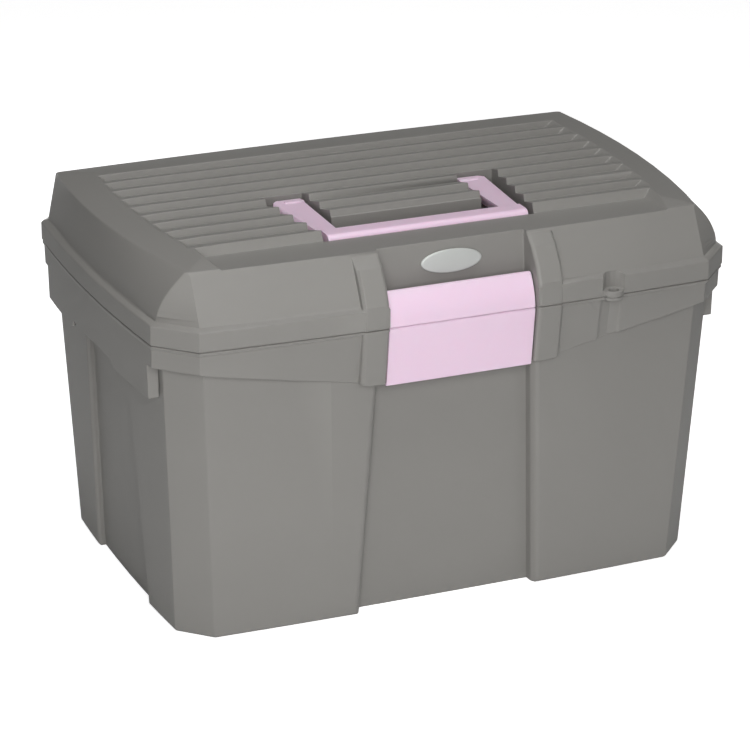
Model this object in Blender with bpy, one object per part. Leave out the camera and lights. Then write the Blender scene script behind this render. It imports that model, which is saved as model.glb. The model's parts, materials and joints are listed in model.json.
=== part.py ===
"""Grooming tack box: a moulded tub, a hinged lid with a bail handle, a folding latch and a lift-out tray.

Metres, +Z up. The box rests on Z = 0 with the centre of its base at the origin, and its front faces -Y.
"""

import math
from dataclasses import dataclass

import bmesh
import bpy
from mathutils import Matrix, Vector

# Lid flange, the widest part of the box
BOX_WIDTH = 0.400
BOX_DEPTH = 0.270
BOW_FRONT = 0.005
BOW_BACK = 0.003
BOW_SIDE = 0.0046
CORNER_CUT_X = 0.0229
CORNER_CUT_Y = 0.0236
FLANGE_HEIGHT = 0.0127
FLANGE_BEVEL = 0.0018
FLANGE_FOOT_BEVEL = 0.0007

# Tub
TUB_HEIGHT = 0.199
TUB_OVERHANG_X = 0.0077
TUB_OVERHANG_Y = 0.0071
TUB_DRAFT_X = 0.0456
TUB_DRAFT_Y = 0.0535
TUB_BOW = 0.0031
TUB_CUT = 0.0195
TUB_WALL = 0.003
TUB_FLOOR = 0.003
BASE_BEVEL = 0.0015
RIM_THICKNESS = 0.0025
LIP_HEIGHT = 0.004
LIP_PLAY = 0.0012

# Recesses in the tub's walls
FRONT_RECESS_DEPTH = 0.010
FRONT_RECESS_BASE = 0.0605
END_RECESS_DEPTH = 0.0047
END_RECESS_TOP = 0.0365
END_RECESS_BASE = 0.0493
FRONT_RECESS_ROUND = 0.0065
END_RECESS_ROUND = 0.003

# Skirt below the tub's rim
SKIRT_INSET_X = 0.0008
SKIRT_INSET_Y = 0.002
SKIRT_DRAFT_X = 0.02
SKIRT_DRAFT_Y = 0.04
SKIRT_HOLLOW_FRONT = 0.19
SKIRT_HOLLOW_BACK = 0.12
SKIRT_WALL = 0.0024
SKIRT_DEPTH_CORNER = 0.0152
SKIRT_DEPTH_POST = 0.0396
SKIRT_DEPTH_END = 0.0375
SKIRT_DEPTH_GRIP = 0.0325
END_SKIRT_HALF = 0.098
END_SKIRT_PAST = 0.012
SKIRT_END_BAR = 0.0062
SKIRT_CUT_BELOW = 0.020
BEAD_INSET = 0.0005
BEAD_HEIGHT = 0.0016
BEAD_BEVEL = 0.0005
GRIP_HALF = 0.035
GRIP_STEP = 0.005

# Lid
LID_SHELF = 0.0043
LID_RISE = 0.0299
LID_WALL = 0.0028
LID_LEAN_FRONT = 0.0162
LID_LEAN_BACK = 0.0172
LID_LEAN_END = 0.0073
LID_SWEEP_END = 0.0183
LID_SWEEP_POWER = 1.8
LID_TOP_BOW = 0.0097
LID_TOP_CORNER = 0.003
LID_BACK_CORNER = 0.0107
CROWN_HEIGHT = 0.0037
CROWN_STEPS = ((0.010, 0.52), (0.020, 0.86), (0.036, 1.0))
CEILING_BELOW_CREASE = 0.0034

# Ridges across the lid's top
RIDGE_COUNT = 10
RIDGE_PITCH = 0.01775
FIRST_RIDGE_BACK = 0.0568
RIDGE_DEPTH = 0.0042
RIDGE_LEAN = 0.0015
RIDGE_LAND = 0.0008
RIDGE_MARGIN = 0.0205
RIDGE_RAMP = 0.0075
RIDGE_ABOVE = 0.0006
RIDGE_MOUTH = 0.0001
BAND_DEPTH = 0.0058
BAND_RISE = 0.0022

# Latch opening and the posts on both sides of it. BACK is the distance behind the box's front
LATCH_WIDTH = 0.099
LATCH_PLAY = 0.0008
POST_WIDTH = 0.0175
POST_PROUD = 0.0004
POST_ROUND = 0.003
POST_BEVEL = 0.0018
POST_OVERLAP = 0.0002
POST_ROOT = 0.004
POST_FOOT_LIFT = 0.0022
POST_BEND = 0.024
POST_BEND_BACK = 0.0029
POST_FOOT_BACK = 0.0048
LID_POST_ROOT = 0.006
LID_POST_TOP = ((0.006, 0.0025), (0.0005, 0.0010))
LID_POST_SLOPE = ((0.42, 0.0085), (0.76, 0.0188))
LID_POST_KNEE = (0.97, 0.0005)
LID_POST_SEAM = 0.006
LATCH_WELL_TOP_BACK = 0.0237
LATCH_WELL_FOOT_BACK = 0.0205
LATCH_SIDE_WALL = 0.0055
WELL_ABOVE = 0.004
WELL_TOP_DROP = 0.0005
WELL_BEND_RISE = 0.004
WELL_BEND_IN = 0.0008

# Latch plates
LATCH_THICKNESS = 0.003
LATCH_TOP_RISE = 0.0173
LATCH_PIN_RADIUS = 0.0015
LATCH_PIN_BACK = 0.0114
LATCH_BARREL_RADIUS = 0.003
LATCH_FOLD_BACK = 0.0023
LATCH_FOLD_DROP = 0.0013
LATCH_FOLD_GAP = 0.0004
LATCH_FOLD_BEVEL = 0.0005
LATCH_FOOT_BACK = 0.0068
LATCH_DROP = 0.0394
LATCH_SHELF_BACK = 0.0138
LATCH_BARREL_ARC = (-60, 130)
LATCH_FOOT_SWELL = 0.0002
LATCH_FOOT_BEVEL = 0.0007
LATCH_FOOT_LIP = 0.003
HOOK_WIDTH = 0.056
HOOK_HEIGHT = 0.004
HOOK_DROP = 0.013
KEEPER_WIDTH = 0.064
KEEPER_HEIGHT = 0.0085
KEEPER_BACK = 0.0105

# Handle and its recess in the lid
HANDLE_BACK_WIDTH = 0.1484
HANDLE_FRONT_WIDTH = 0.137
HANDLE_SPAN = 0.1092
HANDLE_FRONT_BACK = 0.0537
HANDLE_BACK = 0.002
HANDLE_THICKNESS = 0.0052
HANDLE_DROP = 0.0051
BAR_DEPTH = 0.0152
BAR_HEIGHT = 0.0098
BAR_RISE = 0.002
BAR_ROUND = 0.0040
BAR_EDGE_ROUND = 0.002
ARM_FLARE = 0.0018
ARM_CHAMFER = 0.003
PIVOT_Y = -0.0045
PIVOT_BELOW = 0.0009
PIVOT_RADIUS = 0.002
BOSS_RADIUS = 0.0044
BOSS_LENGTH = 0.013
BOSS_END = 0.002
RECESS_DEPTH = 0.0173
RECESS_PLAY_SIDE_BACK = 0.0088
RECESS_PLAY_SIDE_FRONT = 0.0033
RECESS_PLAY_FRONT = 0.0012
RECESS_PLAY_BACK = 0.0028
ISLAND_PLAY = 0.0026
FINGER_ROOM = 0.0206
REST_SIZE = 0.006

# Padlock eye
EYE_X = 0.1033
EYE_RADIUS = 0.0081
EYE_HOLE_RADIUS = 0.0035
EYE_RIM = 0.0016
EYE_LUG_HEIGHT = 0.0038
EYE_CHANNEL_RADIUS = 0.016
EYE_CHANNEL_DEPTH = 0.0021
EYE_LUG_REACH = 0.0045
EYE_NOTCH_DEPTH = 0.0058
EYE_NOTCH_ABOVE = 0.0004
EYE_BACKING_RISE = 0.004

# Badge
BADGE_WIDTH = 0.0413
BADGE_HEIGHT = 0.0150
BADGE_THICKNESS = 0.0020
BADGE_RISE = 0.0304
BADGE_STEPS = ((0.0, 0.0), (0.0, 0.55), (0.06, 0.8), (0.45, 1.0))

# Lid hinges
HINGE_SPACING = 0.210
HINGE_OUT = 0.0044
HINGE_RADIUS = 0.004
HINGE_PIN_RADIUS = 0.0015
HINGE_KNUCKLE_WIDTH = 0.016
HINGE_EAR_WIDTH = 0.006
HINGE_EAR_HEIGHT = 0.012
HINGE_EAR_ARC = (-50, 200)
HINGE_KNUCKLE_ARC = (175, 420)
HINGE_KNUCKLE_ROOT = 0.009

# Lift-out tray
TRAY_DEPTH = 0.045
TRAY_BELOW_RIM = 0.049
TRAY_WALL = 0.002
TRAY_PLAY = 0.0012
TRAY_DRAFT = 0.03
TRAY_CUT = 0.014
TRAY_WEB = 0.0026
TRAY_GRIP_RISE = 0.010
TRAY_GRIP_HALF = 0.055
TRAY_SLOT_HALF = 0.045
TRAY_SLOT_HEIGHT = 0.018
TRAY_SLOT_BRIDGE = 0.0055
DIVIDER_X = 0.060
DIVIDER_THICKNESS = 0.002
DIVIDER_DROP = 0.003
GUIDE_SIZE = 0.0025
SHELF_REACH = 0.012
SHELF_HALF = 0.032
SHELF_HEIGHT = 0.005

# Clearances
GAP = 0.0003
PIN_CLEARANCE = 0.00025
HINGE_PLAY = 0.0004
ROUNDING_PAST = 0.0001
MERGE_DISTANCE = 0.000001

# Steps on curved outlines
ARCH_STEPS = 8
ROUND_STEPS = 5
LATCH_STEPS = 5
ROUND_SIDES = 16
SWEEP_STEPS = 9
HINGE_STEPS = 12
BARREL_STEPS = 6
BAR_STEPS = 4

OVERSHOOT = 0.002

# Heights and depths that several pieces share
FRONT = BOX_DEPTH / 2
SEAM = TUB_HEIGHT + GAP
SHELF_Z = SEAM + FLANGE_HEIGHT + FLANGE_BEVEL
CREASE_Z = SHELF_Z + LID_RISE
TOP_Z = CREASE_Z + CROWN_HEIGHT
FIRST_RIDGE = FIRST_RIDGE_BACK - FRONT
OPENING_HALF = LATCH_WIDTH / 2 + LATCH_PLAY
LATCH_WELL_TOP = FRONT - LATCH_WELL_TOP_BACK
LATCH_WELL_FOOT = FRONT - LATCH_WELL_FOOT_BACK
LATCH_PIN_DEPTH = FRONT - LATCH_PIN_BACK
LATCH_PIN_Z = SEAM + LATCH_TOP_RISE
LATCH_FOLD_DEPTH = FRONT - LATCH_FOLD_BACK
LATCH_FOOT_DEPTH = FRONT - LATCH_FOOT_BACK
FOLD_Z = SEAM - LATCH_FOLD_DROP
KEEPER_REACH = FRONT - KEEPER_BACK
HANDLE_FRONT = HANDLE_FRONT_BACK - FRONT
HANDLE_TOP = TOP_Z - HANDLE_DROP
PIVOT_Z = HANDLE_TOP - HANDLE_THICKNESS / 2 - PIVOT_BELOW
RECESS_FLOOR = TOP_Z - RECESS_DEPTH
RECESS_SIDE_BACK = HANDLE_BACK_WIDTH / 2 + RECESS_PLAY_SIDE_BACK
RECESS_SIDE_FRONT = HANDLE_FRONT_WIDTH / 2 + RECESS_PLAY_SIDE_FRONT
RECESS_FRONT = HANDLE_FRONT - RECESS_PLAY_FRONT
RECESS_BACK = HANDLE_BACK + RECESS_PLAY_BACK
ISLAND_WIDTH = HANDLE_SPAN - 2 * ISLAND_PLAY
ISLAND_FRONT = HANDLE_FRONT + BAR_DEPTH + FINGER_ROOM
TRAY_RISE = TUB_HEIGHT - TRAY_BELOW_RIM
TRAY_BOTTOM = TRAY_RISE + GAP
TRAY_TOP = TRAY_BOTTOM + TRAY_DEPTH
TRAY_FLOOR = TRAY_BOTTOM + TRAY_WALL

GREY = (0.270, 0.262, 0.247)
PINK = (0.780, 0.600, 0.720)
SILVER = (0.560, 0.580, 0.570)
STEEL = (0.450, 0.450, 0.460)
TRAY_GREY = (0.330, 0.325, 0.315)
SHARP_ANGLE = 30

box_parts = bpy.data.collections.new("TackBox")
box_cutters = bpy.data.collections.new("Cutters")


@dataclass(frozen=True)
class Plan:
    """Plan of a bowed octagon's right half: each corner is (x, distance from the X axis)."""

    front: tuple
    end_front: tuple
    end_back: tuple
    back: tuple
    bow_front: float
    bow_end: float
    bow_back: float

    def inset(self, by):
        """The same plan with every wall moved inwards."""
        slant = by * math.tan(math.radians(22.5))
        return Plan(
            (self.front[0] - slant, self.front[1] - by),
            (self.end_front[0] - by, self.end_front[1] - slant),
            (self.end_back[0] - by, self.end_back[1] - slant),
            (self.back[0] - slant, self.back[1] - by),
            self.bow_front,
            self.bow_end,
            self.bow_back,
        )

    def set_back(self, by_x, by_y):
        """The same plan with its ends moved inwards by one depth, and its front and back by another."""
        return Plan(
            (self.front[0], self.front[1] - by_y),
            (self.end_front[0] - by_x, self.end_front[1]),
            (self.end_back[0] - by_x, self.end_back[1]),
            (self.back[0], self.back[1] - by_y),
            self.bow_front,
            self.bow_end,
            self.bow_back,
        )

    def front_at(self, x):
        """Distance of the front face from the X axis at a given x."""
        return self.front[1] + self.bow_front * (1 - (x / self.front[0]) ** 2)

    def back_at(self, x):
        """Distance of the back face from the X axis at a given x."""
        return self.back[1] + self.bow_back * (1 - (x / self.back[0]) ** 2)

    def end_at(self, y):
        """Distance of the end face from the Y axis at a given y."""
        share = (y + self.end_front[1]) / (self.end_front[1] + self.end_back[1])
        chord = self.end_front[0] + (self.end_back[0] - self.end_front[0]) * share
        return chord + self.bow_end * 4 * share * (1 - share)


def octagon(half_x, half_y, cut_x, cut_y, bow_front, bow_end, bow_back):
    """Plan that is alike at the front and the back, but for its bows."""
    side = (half_x, half_y - cut_y)
    face = (half_x - cut_x, half_y)
    return Plan(face, side, side, face, bow_front, bow_end, bow_back)


def flange_plan():
    """Outline of the lid's flange."""
    half_x = BOX_WIDTH / 2 - BOW_SIDE
    half_y = (BOX_DEPTH - BOW_FRONT - BOW_BACK) / 2
    return octagon(half_x, half_y, CORNER_CUT_X, CORNER_CUT_Y, BOW_FRONT, BOW_SIDE, BOW_BACK)


def tub_plan(z):
    """Outline of the tub's outer wall at a height, narrowing downwards with the draft."""
    flange = flange_plan()
    half_x = flange.end_front[0] - TUB_OVERHANG_X - TUB_DRAFT_X * (TUB_HEIGHT - z)
    half_y = flange.front[1] - TUB_OVERHANG_Y - TUB_DRAFT_Y * (TUB_HEIGHT - z)
    return octagon(half_x, half_y, TUB_CUT, TUB_CUT, TUB_BOW, TUB_BOW, TUB_BOW)


def skirt_plan(z):
    """Outline of the skirt below the rim at a height. Its long sides draw in between the corners."""
    flange = flange_plan()
    half_x = flange.end_front[0] - SKIRT_INSET_X - SKIRT_DRAFT_X * (TUB_HEIGHT - z)
    half_y = flange.front[1] - SKIRT_INSET_Y - SKIRT_DRAFT_Y * (TUB_HEIGHT - z)
    bow_front = BOW_FRONT - SKIRT_HOLLOW_FRONT * (TUB_HEIGHT - z)
    bow_back = BOW_BACK - SKIRT_HOLLOW_BACK * (TUB_HEIGHT - z)
    return octagon(half_x, half_y, CORNER_CUT_X, CORNER_CUT_Y, bow_front, BOW_SIDE, bow_back)


def mix(start, end, share):
    """Value a share of the way from start to end."""
    return start + (end - start) * share


def lid_plan(share):
    """Outline of the lid's wall from the flange's shelf (0) to the crease round its top (1)."""
    base = flange_plan().inset(LID_SHELF)
    sweep = share**LID_SWEEP_POWER
    return Plan(
        (base.front[0], base.front[1] - LID_LEAN_FRONT * share),
        (base.end_front[0] - LID_SWEEP_END * sweep, base.end_front[1] + LID_TOP_CORNER * share),
        (base.end_back[0] - LID_LEAN_END * share, base.end_back[1] + LID_TOP_CORNER * share),
        (base.back[0] + LID_BACK_CORNER * share, base.back[1] - LID_LEAN_BACK * share),
        BOW_FRONT,
        mix(BOW_SIDE, LID_TOP_BOW, sweep),
        BOW_BACK,
    )


def bowed(start, end, bow):
    """Points from start towards end, the end left out, on a shallow arch to the right of the way."""
    start = Vector(start)
    span = Vector(end) - start
    outward = Vector((span.y, -span.x)).normalized()
    for step in range(ARCH_STEPS):
        share = step / ARCH_STEPS
        yield start + span * share + outward * (bow * 4 * share * (1 - share))


def arc(centre, radius, start, end, steps):
    """Points on an arc, the angles in degrees."""
    for step in range(steps + 1):
        angle = math.radians(mix(start, end, step / steps))
        yield centre[0] + radius * math.cos(angle), centre[1] + radius * math.sin(angle)


def ring(plan, z):
    """Corner points of a plan at a height, anticlockwise from the front's left end."""
    front_x, front_y = plan.front
    end_x, end_y = plan.end_front
    rear_x, rear_y = plan.end_back
    back_x, back_y = plan.back
    points = list(bowed((-front_x, -front_y), (front_x, -front_y), plan.bow_front))
    points.append(Vector((front_x, -front_y)))
    points += bowed((end_x, -end_y), (rear_x, rear_y), plan.bow_end)
    points.append(Vector((rear_x, rear_y)))
    points += bowed((back_x, back_y), (-back_x, back_y), plan.bow_back)
    points.append(Vector((-back_x, back_y)))
    points += bowed((-rear_x, rear_y), (-end_x, -end_y), plan.bow_end)
    points.append(Vector((-end_x, -end_y)))
    return [Vector((point.x, point.y, z)) for point in points]


def shrunk(points, by, z):
    """A ring drawn in towards the Z axis by a distance and set at another height."""
    reach_x = max(point.x for point in points)
    reach_y = max(abs(point.y) for point in points)
    scale_x = 1 - by / reach_x
    scale_y = 1 - by / reach_y
    return [Vector((point.x * scale_x, point.y * scale_y, z)) for point in points]


def add_object(name, mesh, collection):
    """New object for a mesh, in a collection."""
    obj = bpy.data.objects.new(name, mesh)
    collection.objects.link(obj)
    return obj


def cutter(name, mesh):
    """Helper object that doesn't render."""
    obj = add_object(name, mesh, box_cutters)
    obj.hide_render = True
    obj.display_type = "WIRE"
    return obj


def mesh_from(name, bm):
    """Mesh data from a bmesh, with its faces turned outwards."""
    bmesh.ops.recalc_face_normals(bm, faces=bm.faces)
    if bm.calc_volume(signed=True) < 0:
        bmesh.ops.reverse_faces(bm, faces=bm.faces)
    mesh = bpy.data.meshes.new(name)
    bm.to_mesh(mesh)
    bm.free()
    return mesh


def loft(name, rings):
    """Closed solid through rings with as many points each, the lowest first."""
    bm = bmesh.new()
    rows = [[bm.verts.new(point) for point in points] for points in rings]
    count = len(rows[0])
    for lower, upper in zip(rows, rows[1:]):
        for index in range(count):
            after = (index + 1) % count
            bm.faces.new((lower[index], lower[after], upper[after], upper[index]))
    bm.faces.new(reversed(rows[0]))
    bm.faces.new(rows[-1])
    bmesh.ops.triangulate(bm, faces=bm.faces)
    return cutter(name, mesh_from(name, bm))


def slab(name, outline, low, high, axis):
    """Flat outline pushed out from low to high along an axis, as a mesh.

    The outline's points are (y, z) for axis X, (x, z) for axis Y and (x, y) for axis Z.
    """
    curve = bpy.data.curves.new(name, "CURVE")
    curve.dimensions = "2D"
    curve.fill_mode = "BOTH"
    curve.extrude = (high - low) / 2
    spline = curve.splines.new("POLY")
    spline.points.add(len(outline) - 1)
    for point, (first, second) in zip(spline.points, outline):
        point.co = (first, second, 0, 1)
    spline.use_cyclic_u = True
    flat = add_object(name, curve, box_cutters)
    graph = bpy.context.evaluated_depsgraph_get()
    mesh = bpy.data.meshes.new_from_object(flat.evaluated_get(graph))
    bpy.data.objects.remove(flat)
    bpy.data.curves.remove(curve)
    bm = bmesh.new()
    bm.from_mesh(mesh)
    bpy.data.meshes.remove(mesh)
    bmesh.ops.remove_doubles(bm, verts=bm.verts, dist=MERGE_DISTANCE)
    for vert in bm.verts:
        first, second, along = vert.co
        along = high if along > 0 else low
        if axis == "X":
            vert.co = (along, first, second)
        elif axis == "Y":
            vert.co = (first, along, second)
        else:
            vert.co = (first, second, along)
    return cutter(name, mesh_from(name, bm))


def block(name, low, high):
    """Box between two corners."""
    bm = bmesh.new()
    bmesh.ops.create_cube(bm, size=1)
    for vert in bm.verts:
        vert.co = [high[i] if vert.co[i] > 0 else low[i] for i in range(3)]
    return cutter(name, mesh_from(name, bm))


def cylinder(name, radius, low, high, axis, centre):
    """Round bar from low to high along an axis, about a centre in the plane across it."""
    bm = bmesh.new()
    bmesh.ops.create_cone(
        bm, cap_ends=True, segments=ROUND_SIDES, radius1=radius, radius2=radius, depth=high - low
    )
    for vert in bm.verts:
        first, second, along = vert.co
        along = high if along > 0 else low
        if axis == "X":
            vert.co = (along, centre[0] + first, centre[1] + second)
        else:
            vert.co = (centre[0] + first, centre[1] + second, along)
    return cutter(name, mesh_from(name, bm))


def combine(target, operation, tools):
    """Boolean of a target with each tool in turn. The tools are used up."""
    for tool in tools:
        modifier = target.modifiers.new(tool.name, "BOOLEAN")
        modifier.operation = operation
        modifier.object = tool
        graph = bpy.context.evaluated_depsgraph_get()
        mesh = bpy.data.meshes.new_from_object(target.evaluated_get(graph))
        target.modifiers.clear()
        target.data = mesh
        bpy.data.objects.remove(tool)
    return target


def cut(target, *tools):
    """Takes the tools away from the target."""
    return combine(target, "DIFFERENCE", tools)


def join(target, *tools):
    """Adds the tools to the target."""
    return combine(target, "UNION", tools)


def both_sides(make):
    """The same helper made at the left (-1) and at the right (1)."""
    return [make(side) for side in (-1, 1)]


def material(name, colour, roughness, metallic=0.0):
    """Principled material."""
    made = bpy.data.materials.new(name)
    made.use_nodes = True
    shader = made.node_tree.nodes["Principled BSDF"]
    shader.inputs["Base Color"].default_value = (*colour, 1)
    shader.inputs["Roughness"].default_value = roughness
    shader.inputs["Metallic"].default_value = metallic
    made.diffuse_color = (*colour, 1)
    return made


def finish(obj, name, surface, pivot=(0, 0, 0)):
    """Makes a helper one of the box's pieces, with its origin on its pivot."""
    box_cutters.objects.unlink(obj)
    box_parts.objects.link(obj)
    obj.name = name
    obj.data.name = name
    obj.hide_render = False
    obj.display_type = "TEXTURED"
    obj.data.transform(Matrix.Translation(-Vector(pivot)))
    obj.location = pivot
    obj.data.materials.clear()
    obj.data.materials.append(surface)
    obj.data.shade_smooth()
    obj.data.set_sharp_from_angle(angle=math.radians(SHARP_ANGLE))
    return obj


def hinge_y():
    """Depth of the lid hinges' axis."""
    return flange_plan().back_at(HINGE_SPACING / 2) + HINGE_OUT


def opening_half_at(z):
    """Half width of the front recess at a height: it narrows to the latch opening at the rim."""
    return mix(FRONT_RECESS_BASE, OPENING_HALF, z / TUB_HEIGHT)


def recess_outline(base, top, by):
    """Outline of a wall recess from below the base to above the rim, widened by a distance."""
    low = -OVERSHOOT
    high = TUB_HEIGHT + LIP_HEIGHT + OVERSHOOT
    slope = (top - base) / TUB_HEIGHT
    half_low = base + slope * low + by
    half_high = base + slope * high + by
    return [(-half_low, low), (half_low, low), (half_high, high), (-half_high, high)]


def tub_core(by):
    """Solid inside the tub's recesses, whose faces are the recesses' floors."""
    low, high = -2 * OVERSHOOT, TUB_HEIGHT + LIP_HEIGHT + 2 * OVERSHOOT
    depths = (END_RECESS_DEPTH + by, FRONT_RECESS_DEPTH + by)
    return loft("core", [ring(tub_plan(z).set_back(*depths), z) for z in (low, high)])


def front_recess(by):
    """What the front recess takes from a solid whose wall lies a distance inwards."""
    outline = recess_outline(FRONT_RECESS_BASE, OPENING_HALF, by)
    return cut(slab("recess_front", outline, -BOX_DEPTH, -BOX_DEPTH / 8, "Y"), tub_core(by))


def posted_recess():
    """The front recess between the posts, whose inner sides are upright above its sloping sides."""
    step = TUB_HEIGHT - SKIRT_DEPTH_POST - GAP
    low, right, _, (_, top) = recess_outline(FRONT_RECESS_BASE, OPENING_HALF, 0)
    slope_half = opening_half_at(step)
    outline = [
        low,
        right,
        (slope_half, step),
        (OPENING_HALF, step),
        (OPENING_HALF, top),
        (-OPENING_HALF, top),
        (-OPENING_HALF, step),
        (-slope_half, step),
    ]
    return cut(slab("recess_front", outline, -BOX_DEPTH, -BOX_DEPTH / 8, "Y"), tub_core(0))


def rounding(name, corners, along, out, radius):
    """Cutter that rounds an upright edge of a wall, from its corner at two heights.

    It runs the way of along, away from the recess, and the way of out, out of the wall.
    """
    reach = radius - ROUNDING_PAST
    outline = [(-OVERSHOOT / 2, OVERSHOOT / 2), (-OVERSHOOT / 2, -reach)]
    outline += arc((reach, -reach), radius, 180, 90, ROUND_STEPS)
    outline.append((reach, OVERSHOOT / 2))
    rings = []
    for corner in corners:
        rings.append([corner + Vector(along) * first + Vector(out) * second for first, second in outline])
    return loft(name, rings)


def front_rounding(side, way, top):
    """Rounding of an edge of the front (-1) or back (1) recess, up to a height."""
    corners = []
    for z in (-OVERSHOOT, top):
        half = opening_half_at(z)
        plan = tub_plan(z)
        wall = plan.front_at(half) if way < 0 else plan.back_at(half)
        corners.append(Vector((side * half, way * wall, z)))
    return rounding("rounding", corners, (side, 0, 0), (0, way, 0), FRONT_RECESS_ROUND)


def end_rounding(side, way):
    """Rounding of the front (-1) or back (1) edge of an end recess."""
    corners = []
    for z in (-OVERSHOOT, TUB_HEIGHT - 2 * LIP_HEIGHT):
        half = mix(END_RECESS_BASE, END_RECESS_TOP, z / TUB_HEIGHT)
        corners.append(Vector((side * tub_plan(z).end_at(half), way * half, z)))
    return rounding("rounding", corners, (0, way, 0), (side, 0, 0), END_RECESS_ROUND)


def recess_roundings():
    """Roundings of all the recesses' upright edges."""
    front_top = TUB_HEIGHT - SKIRT_DEPTH_POST - 2 * GAP
    back_top = TUB_HEIGHT - 2 * LIP_HEIGHT
    made = []
    for side in (-1, 1):
        made += [front_rounding(side, -1, front_top), front_rounding(side, 1, back_top)]
        made += [end_rounding(side, -1), end_rounding(side, 1)]
    return made


def other_recesses(by):
    """What the back recess and the end recesses take from a solid whose wall lies a distance inwards."""
    back = recess_outline(FRONT_RECESS_BASE, OPENING_HALF, by)
    ends = recess_outline(END_RECESS_BASE, END_RECESS_TOP, by)
    crosswise = cut(slab("recess_end", ends, -BOX_WIDTH, BOX_WIDTH, "X"), tub_core(by))
    lengthwise = cut(slab("recess_back", back, BOX_DEPTH / 8, BOX_DEPTH, "Y"), tub_core(by))
    return join(crosswise, lengthwise)


def tub_body():
    """Tub's outer form without its skirt, up to the top of the lip."""
    top = TUB_HEIGHT - RIM_THICKNESS / 2
    lip = tub_plan(top).inset(LIP_PLAY)
    return loft(
        "tub_body",
        [
            ring(tub_plan(0).inset(BASE_BEVEL), 0),
            ring(tub_plan(BASE_BEVEL), BASE_BEVEL),
            ring(tub_plan(top), top),
            ring(lip, top + LIP_PLAY / 2),
            ring(lip, TUB_HEIGHT + LIP_HEIGHT),
        ],
    )


def tub_cavity():
    """Inside of the tub."""
    low, high = TUB_FLOOR, TUB_HEIGHT + LIP_HEIGHT + OVERSHOOT
    cavity = loft("cavity", [ring(tub_plan(z).inset(TUB_WALL), z) for z in (low, high)])
    return cut(cavity, front_recess(TUB_WALL), other_recesses(TUB_WALL))


def front_skirt_edge():
    """Line of the front skirt's lower edge from the posts up to the corners, and the space below it."""
    corner_x = flange_plan().front[0]
    post_x = OPENING_HALF
    corner_z = TUB_HEIGHT - SKIRT_DEPTH_CORNER
    post_z = TUB_HEIGHT - SKIRT_DEPTH_POST
    low = post_z - SKIRT_CUT_BELOW
    return [
        (-BOX_WIDTH, low),
        (BOX_WIDTH, low),
        (BOX_WIDTH, corner_z),
        (corner_x, corner_z),
        (post_x, post_z),
        (-post_x, post_z),
        (-corner_x, corner_z),
        (-BOX_WIDTH, corner_z),
    ]


def end_skirt_edge():
    """Line of the end skirt's lower edge, raised in the middle for the fingers, and the space below it."""
    end_z = TUB_HEIGHT - SKIRT_DEPTH_END
    grip_z = TUB_HEIGHT - SKIRT_DEPTH_GRIP
    low = end_z - SKIRT_CUT_BELOW
    reach = END_SKIRT_HALF + END_SKIRT_PAST
    return [
        (-reach, low),
        (reach, low),
        (reach, end_z),
        (GRIP_HALF + GRIP_STEP, end_z),
        (GRIP_HALF, grip_z),
        (-GRIP_HALF, grip_z),
        (-GRIP_HALF - GRIP_STEP, end_z),
        (-reach, end_z),
    ]


def skirt_end_bar(side_x, side_y):
    """Thicker upright at an end of the side skirt."""
    plan = skirt_plan(TUB_HEIGHT - SKIRT_DEPTH_END)
    outer = plan.end_at(END_SKIRT_HALF) - SKIRT_WALL / 4
    low_x, high_x = sorted((side_x * outer, side_x * (outer - SKIRT_END_BAR)))
    low_y, high_y = sorted((side_y * END_SKIRT_HALF, side_y * (END_SKIRT_HALF - SKIRT_END_BAR)))
    low = TUB_HEIGHT - SKIRT_DEPTH_END - OVERSHOOT
    return block("end_bar", (low_x, low_y, low), (high_x, high_y, TUB_HEIGHT - RIM_THICKNESS / 2))


def skirt():
    """Rim plate with the skirt and the posts that hang from it, its lower edge cut to shape."""
    low = TUB_HEIGHT - SKIRT_DEPTH_END - SKIRT_CUT_BELOW / 2
    under = TUB_HEIGHT - RIM_THICKNESS
    bead = flange_plan().inset(BEAD_INSET)
    neck = TUB_HEIGHT - BEAD_HEIGHT - 2 * BEAD_BEVEL
    body = loft(
        "skirt",
        [
            ring(skirt_plan(low), low),
            ring(skirt_plan(neck), neck),
            ring(bead, TUB_HEIGHT - BEAD_HEIGHT),
            ring(bead, TUB_HEIGHT - BEAD_BEVEL),
            ring(bead.inset(BEAD_BEVEL), TUB_HEIGHT),
        ],
    )
    hollow = [ring(skirt_plan(z).inset(SKIRT_WALL), z) for z in (low - OVERSHOOT, under)]
    levels = (under - OVERSHOOT, TUB_HEIGHT + OVERSHOOT)
    middle = loft("middle", [ring(tub_plan(z).inset(TUB_WALL / 2), z) for z in levels])
    cut(middle, front_recess(TUB_WALL / 2), other_recesses(TUB_WALL / 2))
    cut(body, loft("skirt_hollow", hollow), middle)
    join(body, *both_sides(tub_post), eye_backing())
    for side_x in (-1, 1):
        join(body, skirt_end_bar(side_x, -1), skirt_end_bar(side_x, 1))
    front = slab("skirt_front", front_skirt_edge(), -BOX_DEPTH, -END_SKIRT_HALF, "Y")
    back = slab("skirt_back", front_skirt_edge(), END_SKIRT_HALF, BOX_DEPTH, "Y")
    ends = slab("skirt_ends", end_skirt_edge(), -BOX_WIDTH, BOX_WIDTH, "X")
    return cut(body, front, back, ends, eye_channel())


def post(name, side, outline, moved):
    """Post beside the latch opening, rounded towards it and bevelled on the other side.

    The outline's points are (y, z), and moved holds 1 for each that the rounding draws back.
    """
    near = OPENING_HALF - POST_OVERLAP
    far = OPENING_HALF + POST_WIDTH
    steps = []
    for across, out in arc((POST_ROUND, 0), POST_ROUND, 180, 90, ROUND_STEPS):
        steps.append((near + across, POST_ROUND - out))
    steps += [(far - POST_BEVEL, 0), (far, POST_BEVEL)]
    rings = []
    for x, back in steps:
        rings.append([Vector((side * x, y + back * move, z)) for (y, z), move in zip(outline, moved)])
    return loft(name, rings)


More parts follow.
